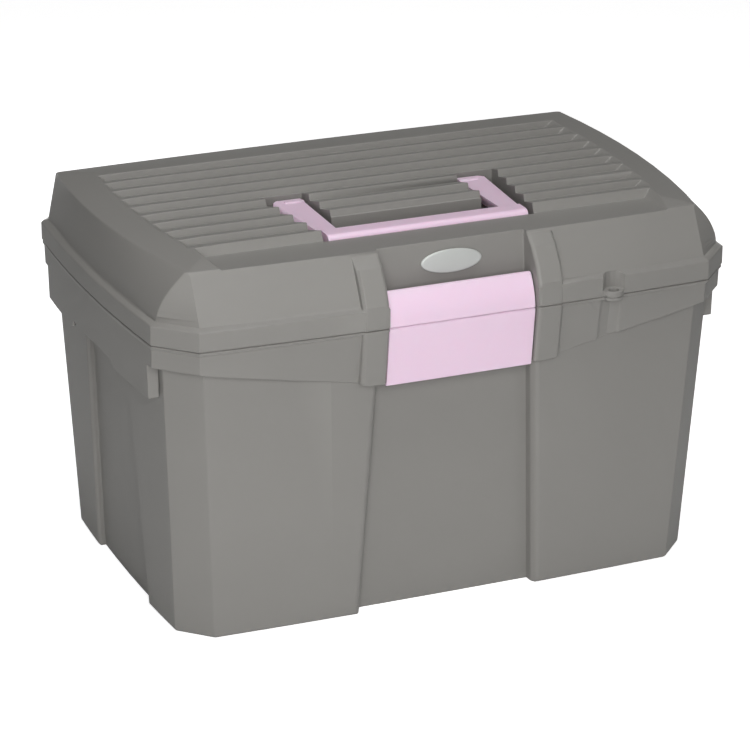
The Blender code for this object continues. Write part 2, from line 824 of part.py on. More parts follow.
def tub_post(side):
    """Post on the tub beside the latch opening."""
    wall = tub_plan(TUB_HEIGHT).front_at(OPENING_HALF)
    face = flange_plan().front_at(OPENING_HALF) + POST_PROUD
    foot = TUB_HEIGHT - SKIRT_DEPTH_POST
    outline = [
        (-wall + POST_ROOT, TUB_HEIGHT),
        (-face + BEAD_BEVEL, TUB_HEIGHT),
        (-face, TUB_HEIGHT - BEAD_BEVEL),
        (-face + POST_BEND_BACK, TUB_HEIGHT - POST_BEND),
        (-face + POST_FOOT_BACK, foot + POST_FOOT_LIFT),
        (-wall + POST_ROOT, foot),
    ]
    return post("tub_post", side, outline, (0, 1, 1, 1, 1, 0))


def latch_shelf():
    """Rim of the tub across the latch opening, with the keeper for the latch's hook below it."""
    core = tub_plan(TUB_HEIGHT).front_at(0) - FRONT_RECESS_DEPTH - TUB_WALL / 2
    reach = FRONT - LATCH_SHELF_BACK
    half = OPENING_HALF + OVERSHOOT
    shelf = block(
        "shelf", (-half, -reach, TUB_HEIGHT - RIM_THICKNESS), (half, -core, TUB_HEIGHT)
    )
    keeper = block(
        "keeper",
        (-KEEPER_WIDTH / 2, -KEEPER_REACH, TUB_HEIGHT - RIM_THICKNESS - KEEPER_HEIGHT),
        (KEEPER_WIDTH / 2, -core, TUB_HEIGHT - RIM_THICKNESS / 2),
    )
    return join(shelf, keeper)


def lip_gap():
    """What the lip leaves free for the side walls of the lid's latch well."""
    half = OPENING_HALF + LATCH_SIDE_WALL + LIP_PLAY
    back = LATCH_WELL_FOOT - LID_WALL - LIP_PLAY
    return block(
        "lip_gap", (-half, -BOX_DEPTH, TUB_HEIGHT), (half, -back, TUB_HEIGHT + 2 * LIP_HEIGHT)
    )


def eye_backing():
    """Thick part of the skirt behind the channel below the padlock eye."""
    half = EYE_RADIUS + SKIRT_WALL
    heights = (TUB_HEIGHT - SKIRT_DEPTH_POST, TUB_HEIGHT - RIM_THICKNESS / 2)
    outline = [(-skirt_plan(z).front_at(EYE_X) + SKIRT_WALL / 2, z) for z in heights]
    outline += [(-tub_plan(z).front_at(EYE_X) + TUB_WALL / 2, z) for z in reversed(heights)]
    return slab("eye_backing", outline, EYE_X - half, EYE_X + half, "X")


def eye_channel():
    """Round channel below the padlock eye, following the skirt."""
    rings = []
    for z in (TUB_HEIGHT - SKIRT_DEPTH_POST - OVERSHOOT, TUB_HEIGHT - RIM_THICKNESS):
        front = skirt_plan(z).front_at(EYE_X)
        centre = (EYE_X, -front - EYE_CHANNEL_RADIUS + EYE_CHANNEL_DEPTH)
        circle = list(arc(centre, EYE_CHANNEL_RADIUS, 0, 360, ROUND_SIDES))[:-1]
        rings.append([Vector((x, y, z)) for x, y in circle])
    return loft("eye_channel", rings)


def eye_front():
    """Distance of the padlock eye's foremost point from the X axis."""
    return flange_plan().front_at(EYE_X) + EYE_LUG_REACH


def eye_lug(low, high):
    """Round lug of the padlock eye between two heights."""
    centre = (EYE_X, -eye_front() + EYE_RADIUS)
    return cylinder("eye_lug", EYE_RADIUS, low, high, "Z", centre)


def eye_hole():
    """Padlock hole through the lug and the tub's rim."""
    centre = (EYE_X, -eye_front() + EYE_HOLE_RADIUS + EYE_RIM)
    low = TUB_HEIGHT - RIM_THICKNESS - OVERSHOOT
    high = SEAM + EYE_LUG_HEIGHT + OVERSHOOT
    return cylinder("eye_hole", EYE_HOLE_RADIUS, low, high, "Z", centre)


def hinge_places():
    """Middles of the two lid hinges along X."""
    return (-HINGE_SPACING / 2, HINGE_SPACING / 2)


def hinge_ears(x):
    """Tub's two ears on both sides of a lid knuckle."""
    near = HINGE_KNUCKLE_WIDTH / 2 + HINGE_PLAY
    low = TUB_HEIGHT - HINGE_EAR_HEIGHT
    wall = skirt_plan(low).back_at(x) - SKIRT_WALL / 2
    outline = [(wall, TUB_HEIGHT - GAP), (wall, low)]
    outline += arc((hinge_y(), SEAM), HINGE_RADIUS, *HINGE_EAR_ARC, HINGE_STEPS)
    ears = []
    for side in (-1, 1):
        low_x, high_x = sorted((x + side * near, x + side * (near + HINGE_EAR_WIDTH)))
        ears.append(slab("ear", outline, low_x, high_x, "X"))
    return ears


def hinge_bore(x):
    """Hole for a hinge pin."""
    half = HINGE_KNUCKLE_WIDTH / 2 + HINGE_PLAY + HINGE_EAR_WIDTH + OVERSHOOT
    radius = HINGE_PIN_RADIUS + PIN_CLEARANCE
    return cylinder("hinge_bore", radius, x - half, x + half, "X", (hinge_y(), SEAM))


def tray_shelf(side):
    """Ledge on an end wall that the tray rests on."""
    plan = tub_plan(TRAY_RISE)
    outer = plan.end_front[0] + plan.bow_end - END_RECESS_DEPTH - TUB_WALL / 2
    inner = outer - TUB_WALL / 2 - SHELF_REACH
    low, high = sorted((side * inner, side * outer))
    return block(
        "tray_shelf",
        (low, -SHELF_HALF, TRAY_RISE - SHELF_HEIGHT),
        (high, SHELF_HALF, TRAY_RISE),
    )


def make_tub(surface):
    """Tub with its skirt, posts, latch keeper, hinge ears and tray ledges."""
    body = cut(tub_body(), other_recesses(0), *recess_roundings())
    tub = join(body, skirt())
    cut(tub, posted_recess(), lip_gap())
    join(tub, latch_shelf(), eye_lug(TUB_HEIGHT - RIM_THICKNESS * 0.8, TUB_HEIGHT))
    for x in hinge_places():
        join(tub, *hinge_ears(x))
        cut(tub, hinge_bore(x))
    cut(tub, tub_cavity(), eye_hole())
    join(tub, *both_sides(tray_shelf))
    return finish(tub, "tub", surface)


def lid_shell():
    """Lid's outer form: the flange, the walls up to the crease and the low crown inside it."""
    flange = flange_plan()
    rings = [
        ring(flange.inset(FLANGE_FOOT_BEVEL), SEAM),
        ring(flange, SEAM + FLANGE_FOOT_BEVEL),
        ring(flange, SEAM + FLANGE_HEIGHT),
    ]
    for step in range(SWEEP_STEPS + 1):
        share = step / SWEEP_STEPS
        rings.append(ring(lid_plan(share), mix(SHELF_Z, CREASE_Z, share)))
    crease = rings[-1]
    for by, rise in CROWN_STEPS:
        rings.append(shrunk(crease, by, CREASE_Z + CROWN_HEIGHT * rise))
    return loft("lid_shell", rings)


def ridge_grooves():
    """Sawtooth grooves across the lid's top: a steep face at the back and a long slope to the front."""
    slope = (RIDGE_PITCH - RIDGE_LEAN - RIDGE_LAND) / RIDGE_DEPTH
    crease = lid_plan(1)
    grooves = []
    for index in range(1, RIDGE_COUNT):
        crest = FIRST_RIDGE + index * RIDGE_PITCH
        foot = TOP_Z - RIDGE_DEPTH
        outline = [
            (crest + RIDGE_LEAN * RIDGE_ABOVE / RIDGE_DEPTH, TOP_Z + RIDGE_ABOVE),
            (crest - RIDGE_LEAN, foot),
            (crest - RIDGE_PITCH + RIDGE_LAND - slope * RIDGE_ABOVE, TOP_Z + RIDGE_ABOVE),
        ]
        half = crease.end_at(crest) - RIDGE_MARGIN
        groove = slab("groove", outline, -half, half, "X")
        ramp_ends(groove, foot + RIDGE_MOUTH, half, RIDGE_RAMP)
        grooves.append(groove)
    return grooves


def ramp_ends(groove, below, half, ramp):
    """Draws in the ends of a groove's low edge, so that its ends slope."""
    for vert in groove.data.vertices:
        if vert.co.z < below:
            vert.co.x *= (half - ramp) / half


def front_band():
    """Low band in front of the first ridge, up to the front crease."""
    crease = lid_plan(1)
    front = crease.front_at(0)
    half = crease.end_at(FIRST_RIDGE) - RIDGE_MARGIN
    foot = TOP_Z - BAND_DEPTH
    before = -front - CORNER_CUT_Y / 2
    outline = [
        (FIRST_RIDGE + RIDGE_LEAN, TOP_Z + OVERSHOOT),
        (FIRST_RIDGE - 2 * RIDGE_LEAN, foot),
        (before, foot + BAND_RISE),
        (before, TOP_Z + OVERSHOOT),
    ]
    band = slab("front_band", outline, -half, half, "X")
    ramp_ends(band, TOP_Z, half, RIDGE_RAMP)
    return band


def lid_post(side):
    """Post on the lid beside the latch opening, flush with the flange."""
    wall = lid_plan(0).front_at(OPENING_HALF)
    top = lid_plan(1).front_at(OPENING_HALF)
    face = flange_plan().front_at(OPENING_HALF) + POST_PROUD
    outline = [(-top + back, CREASE_Z - below) for back, below in LID_POST_TOP]
    outline += [(-mix(top, face, share), CREASE_Z - below) for share, below in LID_POST_SLOPE]
    outline += [
        (-mix(top, face, LID_POST_KNEE[0]), SHELF_Z + LID_POST_KNEE[1]),
        (-face, SEAM + LID_POST_SEAM),
        (-face, SEAM + FLANGE_FOOT_BEVEL),
        (-face + FLANGE_FOOT_BEVEL, SEAM),
        (-wall + LID_POST_ROOT, SEAM),
    ]
    return post("lid_post", side, outline, (0, 0, 1, 1, 1, 1, 1, 1, 0))


def latch_well(half, by):
    """Space of the latch well in the lid's front, its back wall moved inwards by a distance."""
    outline = [
        (-LATCH_WELL_TOP + by, CREASE_Z + WELL_ABOVE),
        (-LATCH_WELL_TOP + by, CREASE_Z - WELL_TOP_DROP),
        (-LATCH_WELL_FOOT + by + WELL_BEND_IN, LATCH_PIN_Z + WELL_BEND_RISE),
        (-LATCH_WELL_FOOT + by, SEAM - OVERSHOOT),
        (-BOX_DEPTH, SEAM - OVERSHOOT),
        (-BOX_DEPTH, CREASE_Z + WELL_ABOVE),
    ]
    return slab("latch_well", outline, -half, half, "X")


def recess_plan(by):
    """Plan of the handle recess without its island, widened by a distance."""
    return [
        (-RECESS_SIDE_BACK - by, RECESS_BACK + by),
        (-RECESS_SIDE_FRONT - by, RECESS_FRONT - by),
        (RECESS_SIDE_FRONT + by, RECESS_FRONT - by),
        (RECESS_SIDE_BACK + by, RECESS_BACK + by),
    ]


def island(by, low, high):
    """Solid between the handle's arms, made smaller by a distance."""
    half = ISLAND_WIDTH / 2 - by
    return block("island", (-half, ISLAND_FRONT + by, low), (half, RECESS_BACK + OVERSHOOT, high))


def handle_recess():
    """U-shaped recess that the handle lies in."""
    high = TOP_Z + OVERSHOOT
    recess = slab("recess", recess_plan(0), RECESS_FLOOR, high, "Z")
    return cut(recess, island(0, RECESS_FLOOR - OVERSHOOT, high + OVERSHOOT))


def handle_rest(side):
    """Low block on the recess's floor that an end of the handle's bar lies on."""
    under = HANDLE_TOP + BAR_RISE - BAR_HEIGHT - GAP
    middle = (HANDLE_SPAN + HANDLE_FRONT_WIDTH) / 4
    low, high = sorted((side * (middle - REST_SIZE / 2), side * (middle + REST_SIZE / 2)))
    front = HANDLE_FRONT + BAR_DEPTH / 2 - REST_SIZE / 2
    return block(
        "rest", (low, front, RECESS_FLOOR - LID_WALL / 2), (high, front + REST_SIZE, under)
    )


def lid_cavity():
    """Inside of the lid, clear of the latch well, the handle recess and the padlock notch."""
    ceiling = CREASE_Z - CEILING_BELOW_CREASE
    share = (ceiling - SHELF_Z) / LID_RISE
    rings = [ring(lid_plan(0).inset(LID_WALL), SEAM - OVERSHOOT)]
    for step in range(SWEEP_STEPS):
        part = share * step / (SWEEP_STEPS - 1)
        rings.append(ring(lid_plan(part).inset(LID_WALL), mix(SHELF_Z, CREASE_Z, part)))
    cavity = loft("lid_cavity", rings)
    housing = slab("housing", recess_plan(LID_WALL), RECESS_FLOOR - LID_WALL, TOP_Z, "Z")
    cut(housing, island(LID_WALL, RECESS_FLOOR - LID_WALL - OVERSHOOT, ceiling))
    well = latch_well(OPENING_HALF + LATCH_SIDE_WALL, LID_WALL)
    flange = flange_plan().front_at(EYE_X)
    notch = block(
        "notch_backing",
        (EYE_X - EYE_RADIUS - LID_WALL, -flange, SEAM - 2 * OVERSHOOT),
        (EYE_X + EYE_RADIUS + LID_WALL, -flange + EYE_NOTCH_DEPTH + LID_WALL, SHELF_Z + EYE_BACKING_RISE),
    )
    return cut(cavity, housing, well, notch)


def eye_notch():
    """Half-round notch in the flange above the padlock eye."""
    front = flange_plan().front_at(EYE_X)
    centre = (EYE_X, -front - EYE_RADIUS + EYE_NOTCH_DEPTH)
    low = SEAM + EYE_LUG_HEIGHT
    return cylinder("eye_notch", EYE_RADIUS, low, SHELF_Z + EYE_NOTCH_ABOVE, "Z", centre)


def hinge_knuckle(x):
    """Lid's knuckle between a pair of ears."""
    half = HINGE_KNUCKLE_WIDTH / 2
    wall = flange_plan().back_at(x) - LID_SHELF
    outline = [(wall, SEAM + HINGE_KNUCKLE_ROOT), (wall, SEAM + GAP)]
    outline += arc((hinge_y(), SEAM), HINGE_RADIUS, *HINGE_KNUCKLE_ARC, HINGE_STEPS)
    return slab("knuckle", outline, x - half, x + half, "X")


def pivot_bore(side):
    """Hole for a handle pin in the island's side wall."""
    near = ISLAND_WIDTH / 2 - LID_WALL - OVERSHOOT
    far = ISLAND_WIDTH / 2 + OVERSHOOT
    low, high = sorted((side * near, side * far))
    radius = PIVOT_RADIUS + PIN_CLEARANCE
    return cylinder("pivot_bore", radius, low, high, "X", (PIVOT_Y, PIVOT_Z))


def make_lid(surface):
    """Lid with its ridges, handle recess, latch well, posts, padlock eye and hinge knuckles."""
    lid = join(lid_shell(), *both_sides(lid_post))
    cut(lid, front_band(), *ridge_grooves())
    cut(lid, handle_recess(), latch_well(OPENING_HALF, 0), eye_notch())
    join(lid, eye_lug(SEAM, SEAM + EYE_LUG_HEIGHT), *both_sides(handle_rest))
    cut(lid, lid_cavity())
    for x in hinge_places():
        join(lid, hinge_knuckle(x))
        cut(lid, hinge_bore(x))
    half = OPENING_HALF + LATCH_SIDE_WALL * 0.75
    radius = LATCH_PIN_RADIUS + PIN_CLEARANCE
    centre = (-LATCH_PIN_DEPTH, LATCH_PIN_Z)
    cut(lid, eye_hole(), cylinder("latch_bore", radius, -half, half, "X", centre))
    cut(lid, *both_sides(pivot_bore))
    return finish(lid, "lid", surface, (0, hinge_y(), SEAM))


def handle_arm(side):
    """Flat arm of the handle, wider at the pivot."""
    outline = [
        (side * HANDLE_SPAN / 2, HANDLE_BACK),
        (side * (HANDLE_SPAN / 2 + ARM_FLARE), HANDLE_FRONT + BAR_DEPTH / 2),
        (side * HANDLE_FRONT_WIDTH / 2, HANDLE_FRONT + BAR_DEPTH / 2),
        (side * HANDLE_BACK_WIDTH / 2, HANDLE_BACK - ARM_CHAMFER),
        (side * (HANDLE_BACK_WIDTH / 2 - ARM_CHAMFER), HANDLE_BACK),
    ]
    arm = slab("arm", outline, HANDLE_TOP - HANDLE_THICKNESS, HANDLE_TOP, "Z")
    low, high = sorted((side * HANDLE_SPAN / 2, side * (HANDLE_SPAN / 2 + BOSS_LENGTH)))
    return join(arm, cylinder("boss", BOSS_RADIUS, low, high, "X", (PIVOT_Y, PIVOT_Z)))


def handle_bar():
    """Bar that the hand holds, rounded towards the front."""
    top = HANDLE_TOP + BAR_RISE
    low = top - BAR_HEIGHT
    back = HANDLE_FRONT + BAR_DEPTH
    edge = BAR_EDGE_ROUND
    outline = list(arc((back - edge, top - edge), edge, 0, 90, BAR_STEPS // 2))
    outline += arc((HANDLE_FRONT + BAR_ROUND, top - BAR_ROUND), BAR_ROUND, 90, 180, BAR_STEPS)
    outline += arc((HANDLE_FRONT + edge, low + edge), edge, 180, 270, BAR_STEPS // 2)
    outline += arc((back - edge, low + edge), edge, 270, 360, BAR_STEPS // 2)
    half = HANDLE_FRONT_WIDTH / 2
    return slab("bar", outline, -half, half, "X")


def make_handle(surface):
    """Bail handle, turning on its two pins."""
    handle = join(handle_bar(), *both_sides(handle_arm))
    for side in (-1, 1):
        near = HANDLE_SPAN / 2 - OVERSHOOT
        far = HANDLE_SPAN / 2 + BOSS_LENGTH - BOSS_END
        low, high = sorted((side * near, side * far))
        radius = PIVOT_RADIUS + PIN_CLEARANCE
        cut(handle, cylinder("boss_bore", radius, low, high, "X", (PIVOT_Y, PIVOT_Z)))
    return finish(handle, "handle", surface, (0, PIVOT_Y, PIVOT_Z))


def make_handle_pin(side, surface):
    """Pin between the island's side wall and a handle arm."""
    near = ISLAND_WIDTH / 2 - LID_WALL - GAP
    far = HANDLE_SPAN / 2 + BOSS_LENGTH - BOSS_END - GAP
    low, high = sorted((side * near, side * far))
    pin = cylinder("pin", PIVOT_RADIUS, low, high, "X", (PIVOT_Y, PIVOT_Z))
    name = "handle_pin_left" if side < 0 else "handle_pin_right"
    return finish(pin, name, surface)


def latch_bulge(share, back):
    """Point on the upper half's outer face, from its barrel (0) to the fold (1), moved back."""
    angle = math.radians(LATCH_BARREL_ARC[1])
    top_y = LATCH_PIN_DEPTH - LATCH_BARREL_RADIUS * math.cos(angle)
    top_z = LATCH_PIN_Z + LATCH_BARREL_RADIUS * math.sin(angle)
    low = FOLD_Z + LATCH_FOLD_GAP / 2 + LATCH_FOLD_BEVEL
    swell = 1 - (1 - share) ** 2
    return -mix(top_y, LATCH_FOLD_DEPTH, swell) + back, mix(top_z, low, share)


def make_latch_upper(surface):
    """Upper half of the latch, curving from its barrel on the pin down to the fold."""
    barrel = (-LATCH_PIN_DEPTH, LATCH_PIN_Z)
    low = FOLD_Z + LATCH_FOLD_GAP / 2
    outline = list(arc(barrel, LATCH_BARREL_RADIUS, *LATCH_BARREL_ARC, BARREL_STEPS))
    outline += [latch_bulge(step / LATCH_STEPS, 0) for step in range(1, LATCH_STEPS + 1)]
    outline += [
        (-LATCH_FOLD_DEPTH + LATCH_FOLD_BEVEL, low),
        (-LATCH_FOLD_DEPTH + LATCH_THICKNESS, low),
    ]
    inner = range(LATCH_STEPS - 1, 1, -1)
    outline += [latch_bulge(step / LATCH_STEPS, LATCH_THICKNESS) for step in inner]
    half = LATCH_WIDTH / 2
    plate = slab("latch_upper", outline, -half, half, "X")
    bore = cylinder(
        "bore", LATCH_PIN_RADIUS + PIN_CLEARANCE, -half - OVERSHOOT, half + OVERSHOOT, "X", barrel
    )
    return finish(cut(plate, bore), "latch_upper", surface, (0, *barrel))


def latch_face(z):
    """Distance of the lower half's outer face from the X axis at a height."""
    return mix(LATCH_FOLD_DEPTH, LATCH_FOOT_DEPTH, (FOLD_Z - z) / LATCH_DROP)


def make_latch_lower(surface):
    """Lower half of the latch, which folds outwards at the seam, with the hook on its inner face."""
    high = FOLD_Z - LATCH_FOLD_GAP / 2
    low = FOLD_Z - LATCH_DROP
    outline = [
        (-LATCH_FOLD_DEPTH, high - LATCH_FOLD_BEVEL),
        (-LATCH_FOOT_DEPTH - LATCH_FOOT_SWELL, low + LATCH_FOOT_BEVEL),
        (-LATCH_FOOT_DEPTH + LATCH_FOOT_BEVEL, low),
        (-LATCH_FOOT_DEPTH + LATCH_THICKNESS, low),
        (-LATCH_FOOT_DEPTH + LATCH_THICKNESS, low + LATCH_FOOT_LIP),
        (-LATCH_FOLD_DEPTH + LATCH_THICKNESS, high),
        (-LATCH_FOLD_DEPTH + LATCH_FOLD_BEVEL, high),
    ]
    half = LATCH_WIDTH / 2
    plate = slab("latch_lower", outline, -half, half, "X")
    hook_z = FOLD_Z - HOOK_DROP
    tip = -KEEPER_REACH - GAP
    root = LATCH_THICKNESS / 2
    hook = slab(
        "hook",
        [
            (-latch_face(hook_z) + root, hook_z),
            (-latch_face(hook_z - 2 * HOOK_HEIGHT) + root, hook_z - 2 * HOOK_HEIGHT),
            (tip, hook_z - HOOK_HEIGHT),
            (tip, hook_z),
        ],
        -HOOK_WIDTH / 2,
        HOOK_WIDTH / 2,
        "X",
    )
    pivot = (0, -LATCH_FOLD_DEPTH, FOLD_Z)
    return finish(join(plate, hook), "latch_lower", surface, pivot)


def make_latch_pin(surface):
    """Pin that the upper half of the latch hangs on."""
    half = OPENING_HALF + LATCH_SIDE_WALL * 0.75 - GAP
    centre = (-LATCH_PIN_DEPTH, LATCH_PIN_Z)
    pin = cylinder("pin", LATCH_PIN_RADIUS, -half, half, "X", centre)
    return finish(pin, "latch_pin", surface)


def make_badge(surface):
    """Bare oval badge on the sloping wall above the latch."""
    foot = Vector((0, -LATCH_WELL_FOOT + WELL_BEND_IN, LATCH_PIN_Z + WELL_BEND_RISE))
    head = Vector((0, -LATCH_WELL_TOP, CREASE_Z - WELL_TOP_DROP))
    up = (head - foot).normalized()
    out = Vector((0, -up.z, up.y))
    share = (SEAM + BADGE_RISE - foot.z) / (head.z - foot.z)
    centre = foot.lerp(head, share) + out * GAP
    bm = bmesh.new()
    rows = []
    for inset, rise in BADGE_STEPS:
        row = []
        for step in range(2 * ROUND_SIDES):
            angle = math.tau * step / (2 * ROUND_SIDES)
            across = BADGE_WIDTH / 2 * (1 - inset) * math.cos(angle)
            along = BADGE_HEIGHT / 2 * (1 - inset) * math.sin(angle)
            place = centre + Vector((across, 0, 0)) + up * along + out * (rise * BADGE_THICKNESS)
            row.append(bm.verts.new(place))
        rows.append(row)
    bm.faces.new(reversed(rows[0]))
    for lower, upper in zip(rows, rows[1:]):
        for index in range(len(lower)):
            after = (index + 1) % len(lower)
            bm.faces.new((lower[index], lower[after], upper[after], upper[index]))
    bm.faces.new(rows[-1])
    return finish(cutter("badge", mesh_from("badge", bm)), "badge", surface)


def make_hinge_pin(x, name, surface):
    """Steel pin of one lid hinge."""
    half = HINGE_KNUCKLE_WIDTH / 2 + HINGE_PLAY + HINGE_EAR_WIDTH
    pin = cylinder("pin", HINGE_PIN_RADIUS, x - half, x + half, "X", (hinge_y(), SEAM))
    return finish(pin, name, surface)


def tray_plan(z):
    """Outline of the tray at a height."""
    tub = tub_plan(TRAY_RISE)
    half_x = tub.end_front[0] - END_RECESS_DEPTH - TUB_WALL - TRAY_PLAY
    half_y = tub.front[1] - FRONT_RECESS_DEPTH - TUB_WALL - TRAY_PLAY
    widening = TRAY_DRAFT * (z - TRAY_RISE)
    return octagon(half_x + widening, half_y + widening, TRAY_CUT, TRAY_CUT, 0, 0, 0)


def divider_guides():
    """Pairs of ribs that the loose dividers slide down between."""
    guides = []
    play = DIVIDER_THICKNESS / 2 + GAP
    front = tray_plan(TRAY_FLOOR).inset(TRAY_WALL).front[1]
    for side in (-1, 1):
        for low_y, high_y in (
            (-front - TRAY_WALL / 2, -front + GUIDE_SIZE),
            (-TRAY_WEB / 2 - GUIDE_SIZE, 0),
        ):
            for hand in (-1, 1):
                near = side * DIVIDER_X + hand * play
                low_x, high_x = sorted((near, near + hand * GUIDE_SIZE))
                guides.append(
                    block(
                        "guide",
                        (low_x, low_y, TRAY_FLOOR - TRAY_WALL / 2),
                        (high_x, high_y, TRAY_TOP - DIVIDER_DROP),
                    )
                )
    return guides


def make_tray(surface):
    """Open tray with a lengthwise web that rises to a hand grip."""
    tray = loft("tray", [ring(tray_plan(z), z) for z in (TRAY_BOTTOM, TRAY_TOP)])
    levels = (TRAY_FLOOR, TRAY_TOP + OVERSHOOT)
    cut(tray, loft("hollow", [ring(tray_plan(z).inset(TRAY_WALL), z) for z in levels]))
    reach = tray_plan(TRAY_FLOOR).inset(TRAY_WALL / 2).end_at(0)
    grip_top = TRAY_TOP + TRAY_GRIP_RISE
    web = slab(
        "web",
        [
            (-reach, TRAY_FLOOR - TRAY_WALL / 2),
            (reach, TRAY_FLOOR - TRAY_WALL / 2),
            (reach, TRAY_TOP - DIVIDER_DROP),
            (TRAY_GRIP_HALF + TRAY_GRIP_RISE, TRAY_TOP - DIVIDER_DROP),
            (TRAY_GRIP_HALF, grip_top),
            (-TRAY_GRIP_HALF, grip_top),
            (-TRAY_GRIP_HALF - TRAY_GRIP_RISE, TRAY_TOP - DIVIDER_DROP),
            (-reach, TRAY_TOP - DIVIDER_DROP),
        ],
        -TRAY_WEB / 2,
        TRAY_WEB / 2,
        "Y",
    )
    slot_top = grip_top - TRAY_SLOT_BRIDGE
    slot = block(
        "slot",
        (-TRAY_SLOT_HALF, -TRAY_WEB, slot_top - TRAY_SLOT_HEIGHT),
        (TRAY_SLOT_HALF, TRAY_WEB, slot_top),
    )
    join(tray, cut(web, slot), *divider_guides())
    return finish(tray, "tray", surface)


def make_divider(side, surface):
    """Loose divider across the tray's front half."""
    front = tray_plan(TRAY_FLOOR).inset(TRAY_WALL).front[1]
    half = DIVIDER_THICKNESS / 2
    divider = block(
        "divider",
        (side * DIVIDER_X - half, -front + GAP, TRAY_FLOOR + GAP),
        (side * DIVIDER_X + half, -TRAY_WEB / 2 - GAP, TRAY_TOP - DIVIDER_DROP),
    )
    name = "tray_divider_left" if side < 0 else "tray_divider_right"
    return finish(divider, name, surface)


def main():
    """Builds every piece of the box."""
    for obj in list(bpy.data.objects):
        bpy.data.objects.remove(obj)
    bpy.context.scene.collection.children.link(box_parts)
    bpy.context.scene.collection.children.link(box_cutters)
    grey = material("grey_plastic", GREY, 0.42)
    pink = material("pink_plastic", PINK, 0.38)
    silver = material("silver_badge", SILVER, 0.35, 0.6)
    steel = material("steel", STEEL, 0.35, 1.0)
    tray_grey = material("tray_plastic", TRAY_GREY, 0.45)
    make_tub(grey)
    make_lid(grey)
    make_handle(pink)
    make_latch_upper(pink)
    make_latch_lower(pink)
    make_latch_pin(steel)
    make_badge(silver)
    for side in (-1, 1):
        make_handle_pin(side, steel)
        make_divider(side, tray_grey)
    for x, name in zip(hinge_places(), ("hinge_pin_left", "hinge_pin_right")):
        make_hinge_pin(x, name, steel)
    make_tray(tray_grey)
    box_cutters.hide_render = True


if __name__ == "__main__":
    main()
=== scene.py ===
"""Tack box: moulded grey tub and lid, pale pink handle and latch, bare silver badge.

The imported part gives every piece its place, and this script gives each one its look: softened
edges, moulded plastic or metal, a pale floor, studio light and the camera of the photo.
Lengths are in metres, +Z is up and the front looks along -Y.
"""

import json
import logging
import math
from collections.abc import Callable
from dataclasses import dataclass
from enum import Enum

import bmesh
import bpy
from mathutils import Matrix, Vector
from mathutils.bvhtree import BVHTree
from mathutils.kdtree import KDTree

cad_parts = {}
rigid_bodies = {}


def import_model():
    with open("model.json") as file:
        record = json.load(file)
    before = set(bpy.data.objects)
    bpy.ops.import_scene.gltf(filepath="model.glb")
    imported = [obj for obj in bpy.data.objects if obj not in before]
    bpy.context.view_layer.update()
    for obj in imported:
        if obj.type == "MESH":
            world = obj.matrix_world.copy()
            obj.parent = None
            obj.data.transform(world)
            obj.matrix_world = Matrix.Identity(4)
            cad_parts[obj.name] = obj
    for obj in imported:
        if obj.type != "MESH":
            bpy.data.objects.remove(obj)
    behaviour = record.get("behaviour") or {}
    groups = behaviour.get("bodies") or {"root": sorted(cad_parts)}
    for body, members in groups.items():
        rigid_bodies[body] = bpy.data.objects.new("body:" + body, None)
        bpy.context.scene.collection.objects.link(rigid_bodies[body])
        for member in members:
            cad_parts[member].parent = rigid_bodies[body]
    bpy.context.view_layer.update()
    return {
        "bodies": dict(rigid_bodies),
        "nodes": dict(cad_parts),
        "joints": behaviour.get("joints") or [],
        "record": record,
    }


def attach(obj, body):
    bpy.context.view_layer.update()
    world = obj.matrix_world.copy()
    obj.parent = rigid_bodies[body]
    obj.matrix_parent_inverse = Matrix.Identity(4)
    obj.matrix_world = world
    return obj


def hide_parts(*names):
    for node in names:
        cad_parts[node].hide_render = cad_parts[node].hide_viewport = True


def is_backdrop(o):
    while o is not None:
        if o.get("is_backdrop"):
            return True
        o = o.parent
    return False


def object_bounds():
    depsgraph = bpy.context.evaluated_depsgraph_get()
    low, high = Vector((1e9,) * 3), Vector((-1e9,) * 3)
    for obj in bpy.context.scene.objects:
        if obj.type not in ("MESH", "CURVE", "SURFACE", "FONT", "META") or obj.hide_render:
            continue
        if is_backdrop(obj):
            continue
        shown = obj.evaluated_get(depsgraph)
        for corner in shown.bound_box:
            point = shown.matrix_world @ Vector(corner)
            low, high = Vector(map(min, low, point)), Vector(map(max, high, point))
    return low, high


LOG = logging.getLogger("tack_box")

MM = 0.001

DRIFT_SCALE = 9.0
DRIFT_DETAIL = 3.0
DRIFT_SPAN = (0.3, 0.7)
# Pointiness span over which convex edges turn paler: wear, and a painted highlight along the
# edges.
EDGE_WEAR_AND_HIGHLIGHT_SPAN = (0.53, 0.62)
GRAIN_SCALE = 1900.0
GRAIN_DETAIL = 2.0
GRAIN_STRENGTH = 0.35
BRUSH_SCALE = (60.0, 900.0, 900.0)
BRUSH_STRENGTH = 0.3
SHEEN_ROUGHNESS = 0.6
GLOW_REACH = (0.004, 0.0025, 0.003)
BLACK = (0.0, 0.0, 0.0, 1.0)
WHITE = (1.0, 1.0, 1.0, 1.0)


class Slot(Enum):
    """The record's names for what each piece is made of."""

    GREY = "grey_plastic"
    PINK = "pink_plastic"
    BADGE = "silver_badge"
    STEEL = "steel"
    TRAY = "tray_plastic"


class Body(Enum):
    """The pieces of the box that move as one."""

    TUB = "tub"
    LID = "lid"
    HANDLE = "handle"
    LATCH_UPPER = "latch_upper"
    LATCH_LOWER = "latch_lower"
    TRAY = "tray"


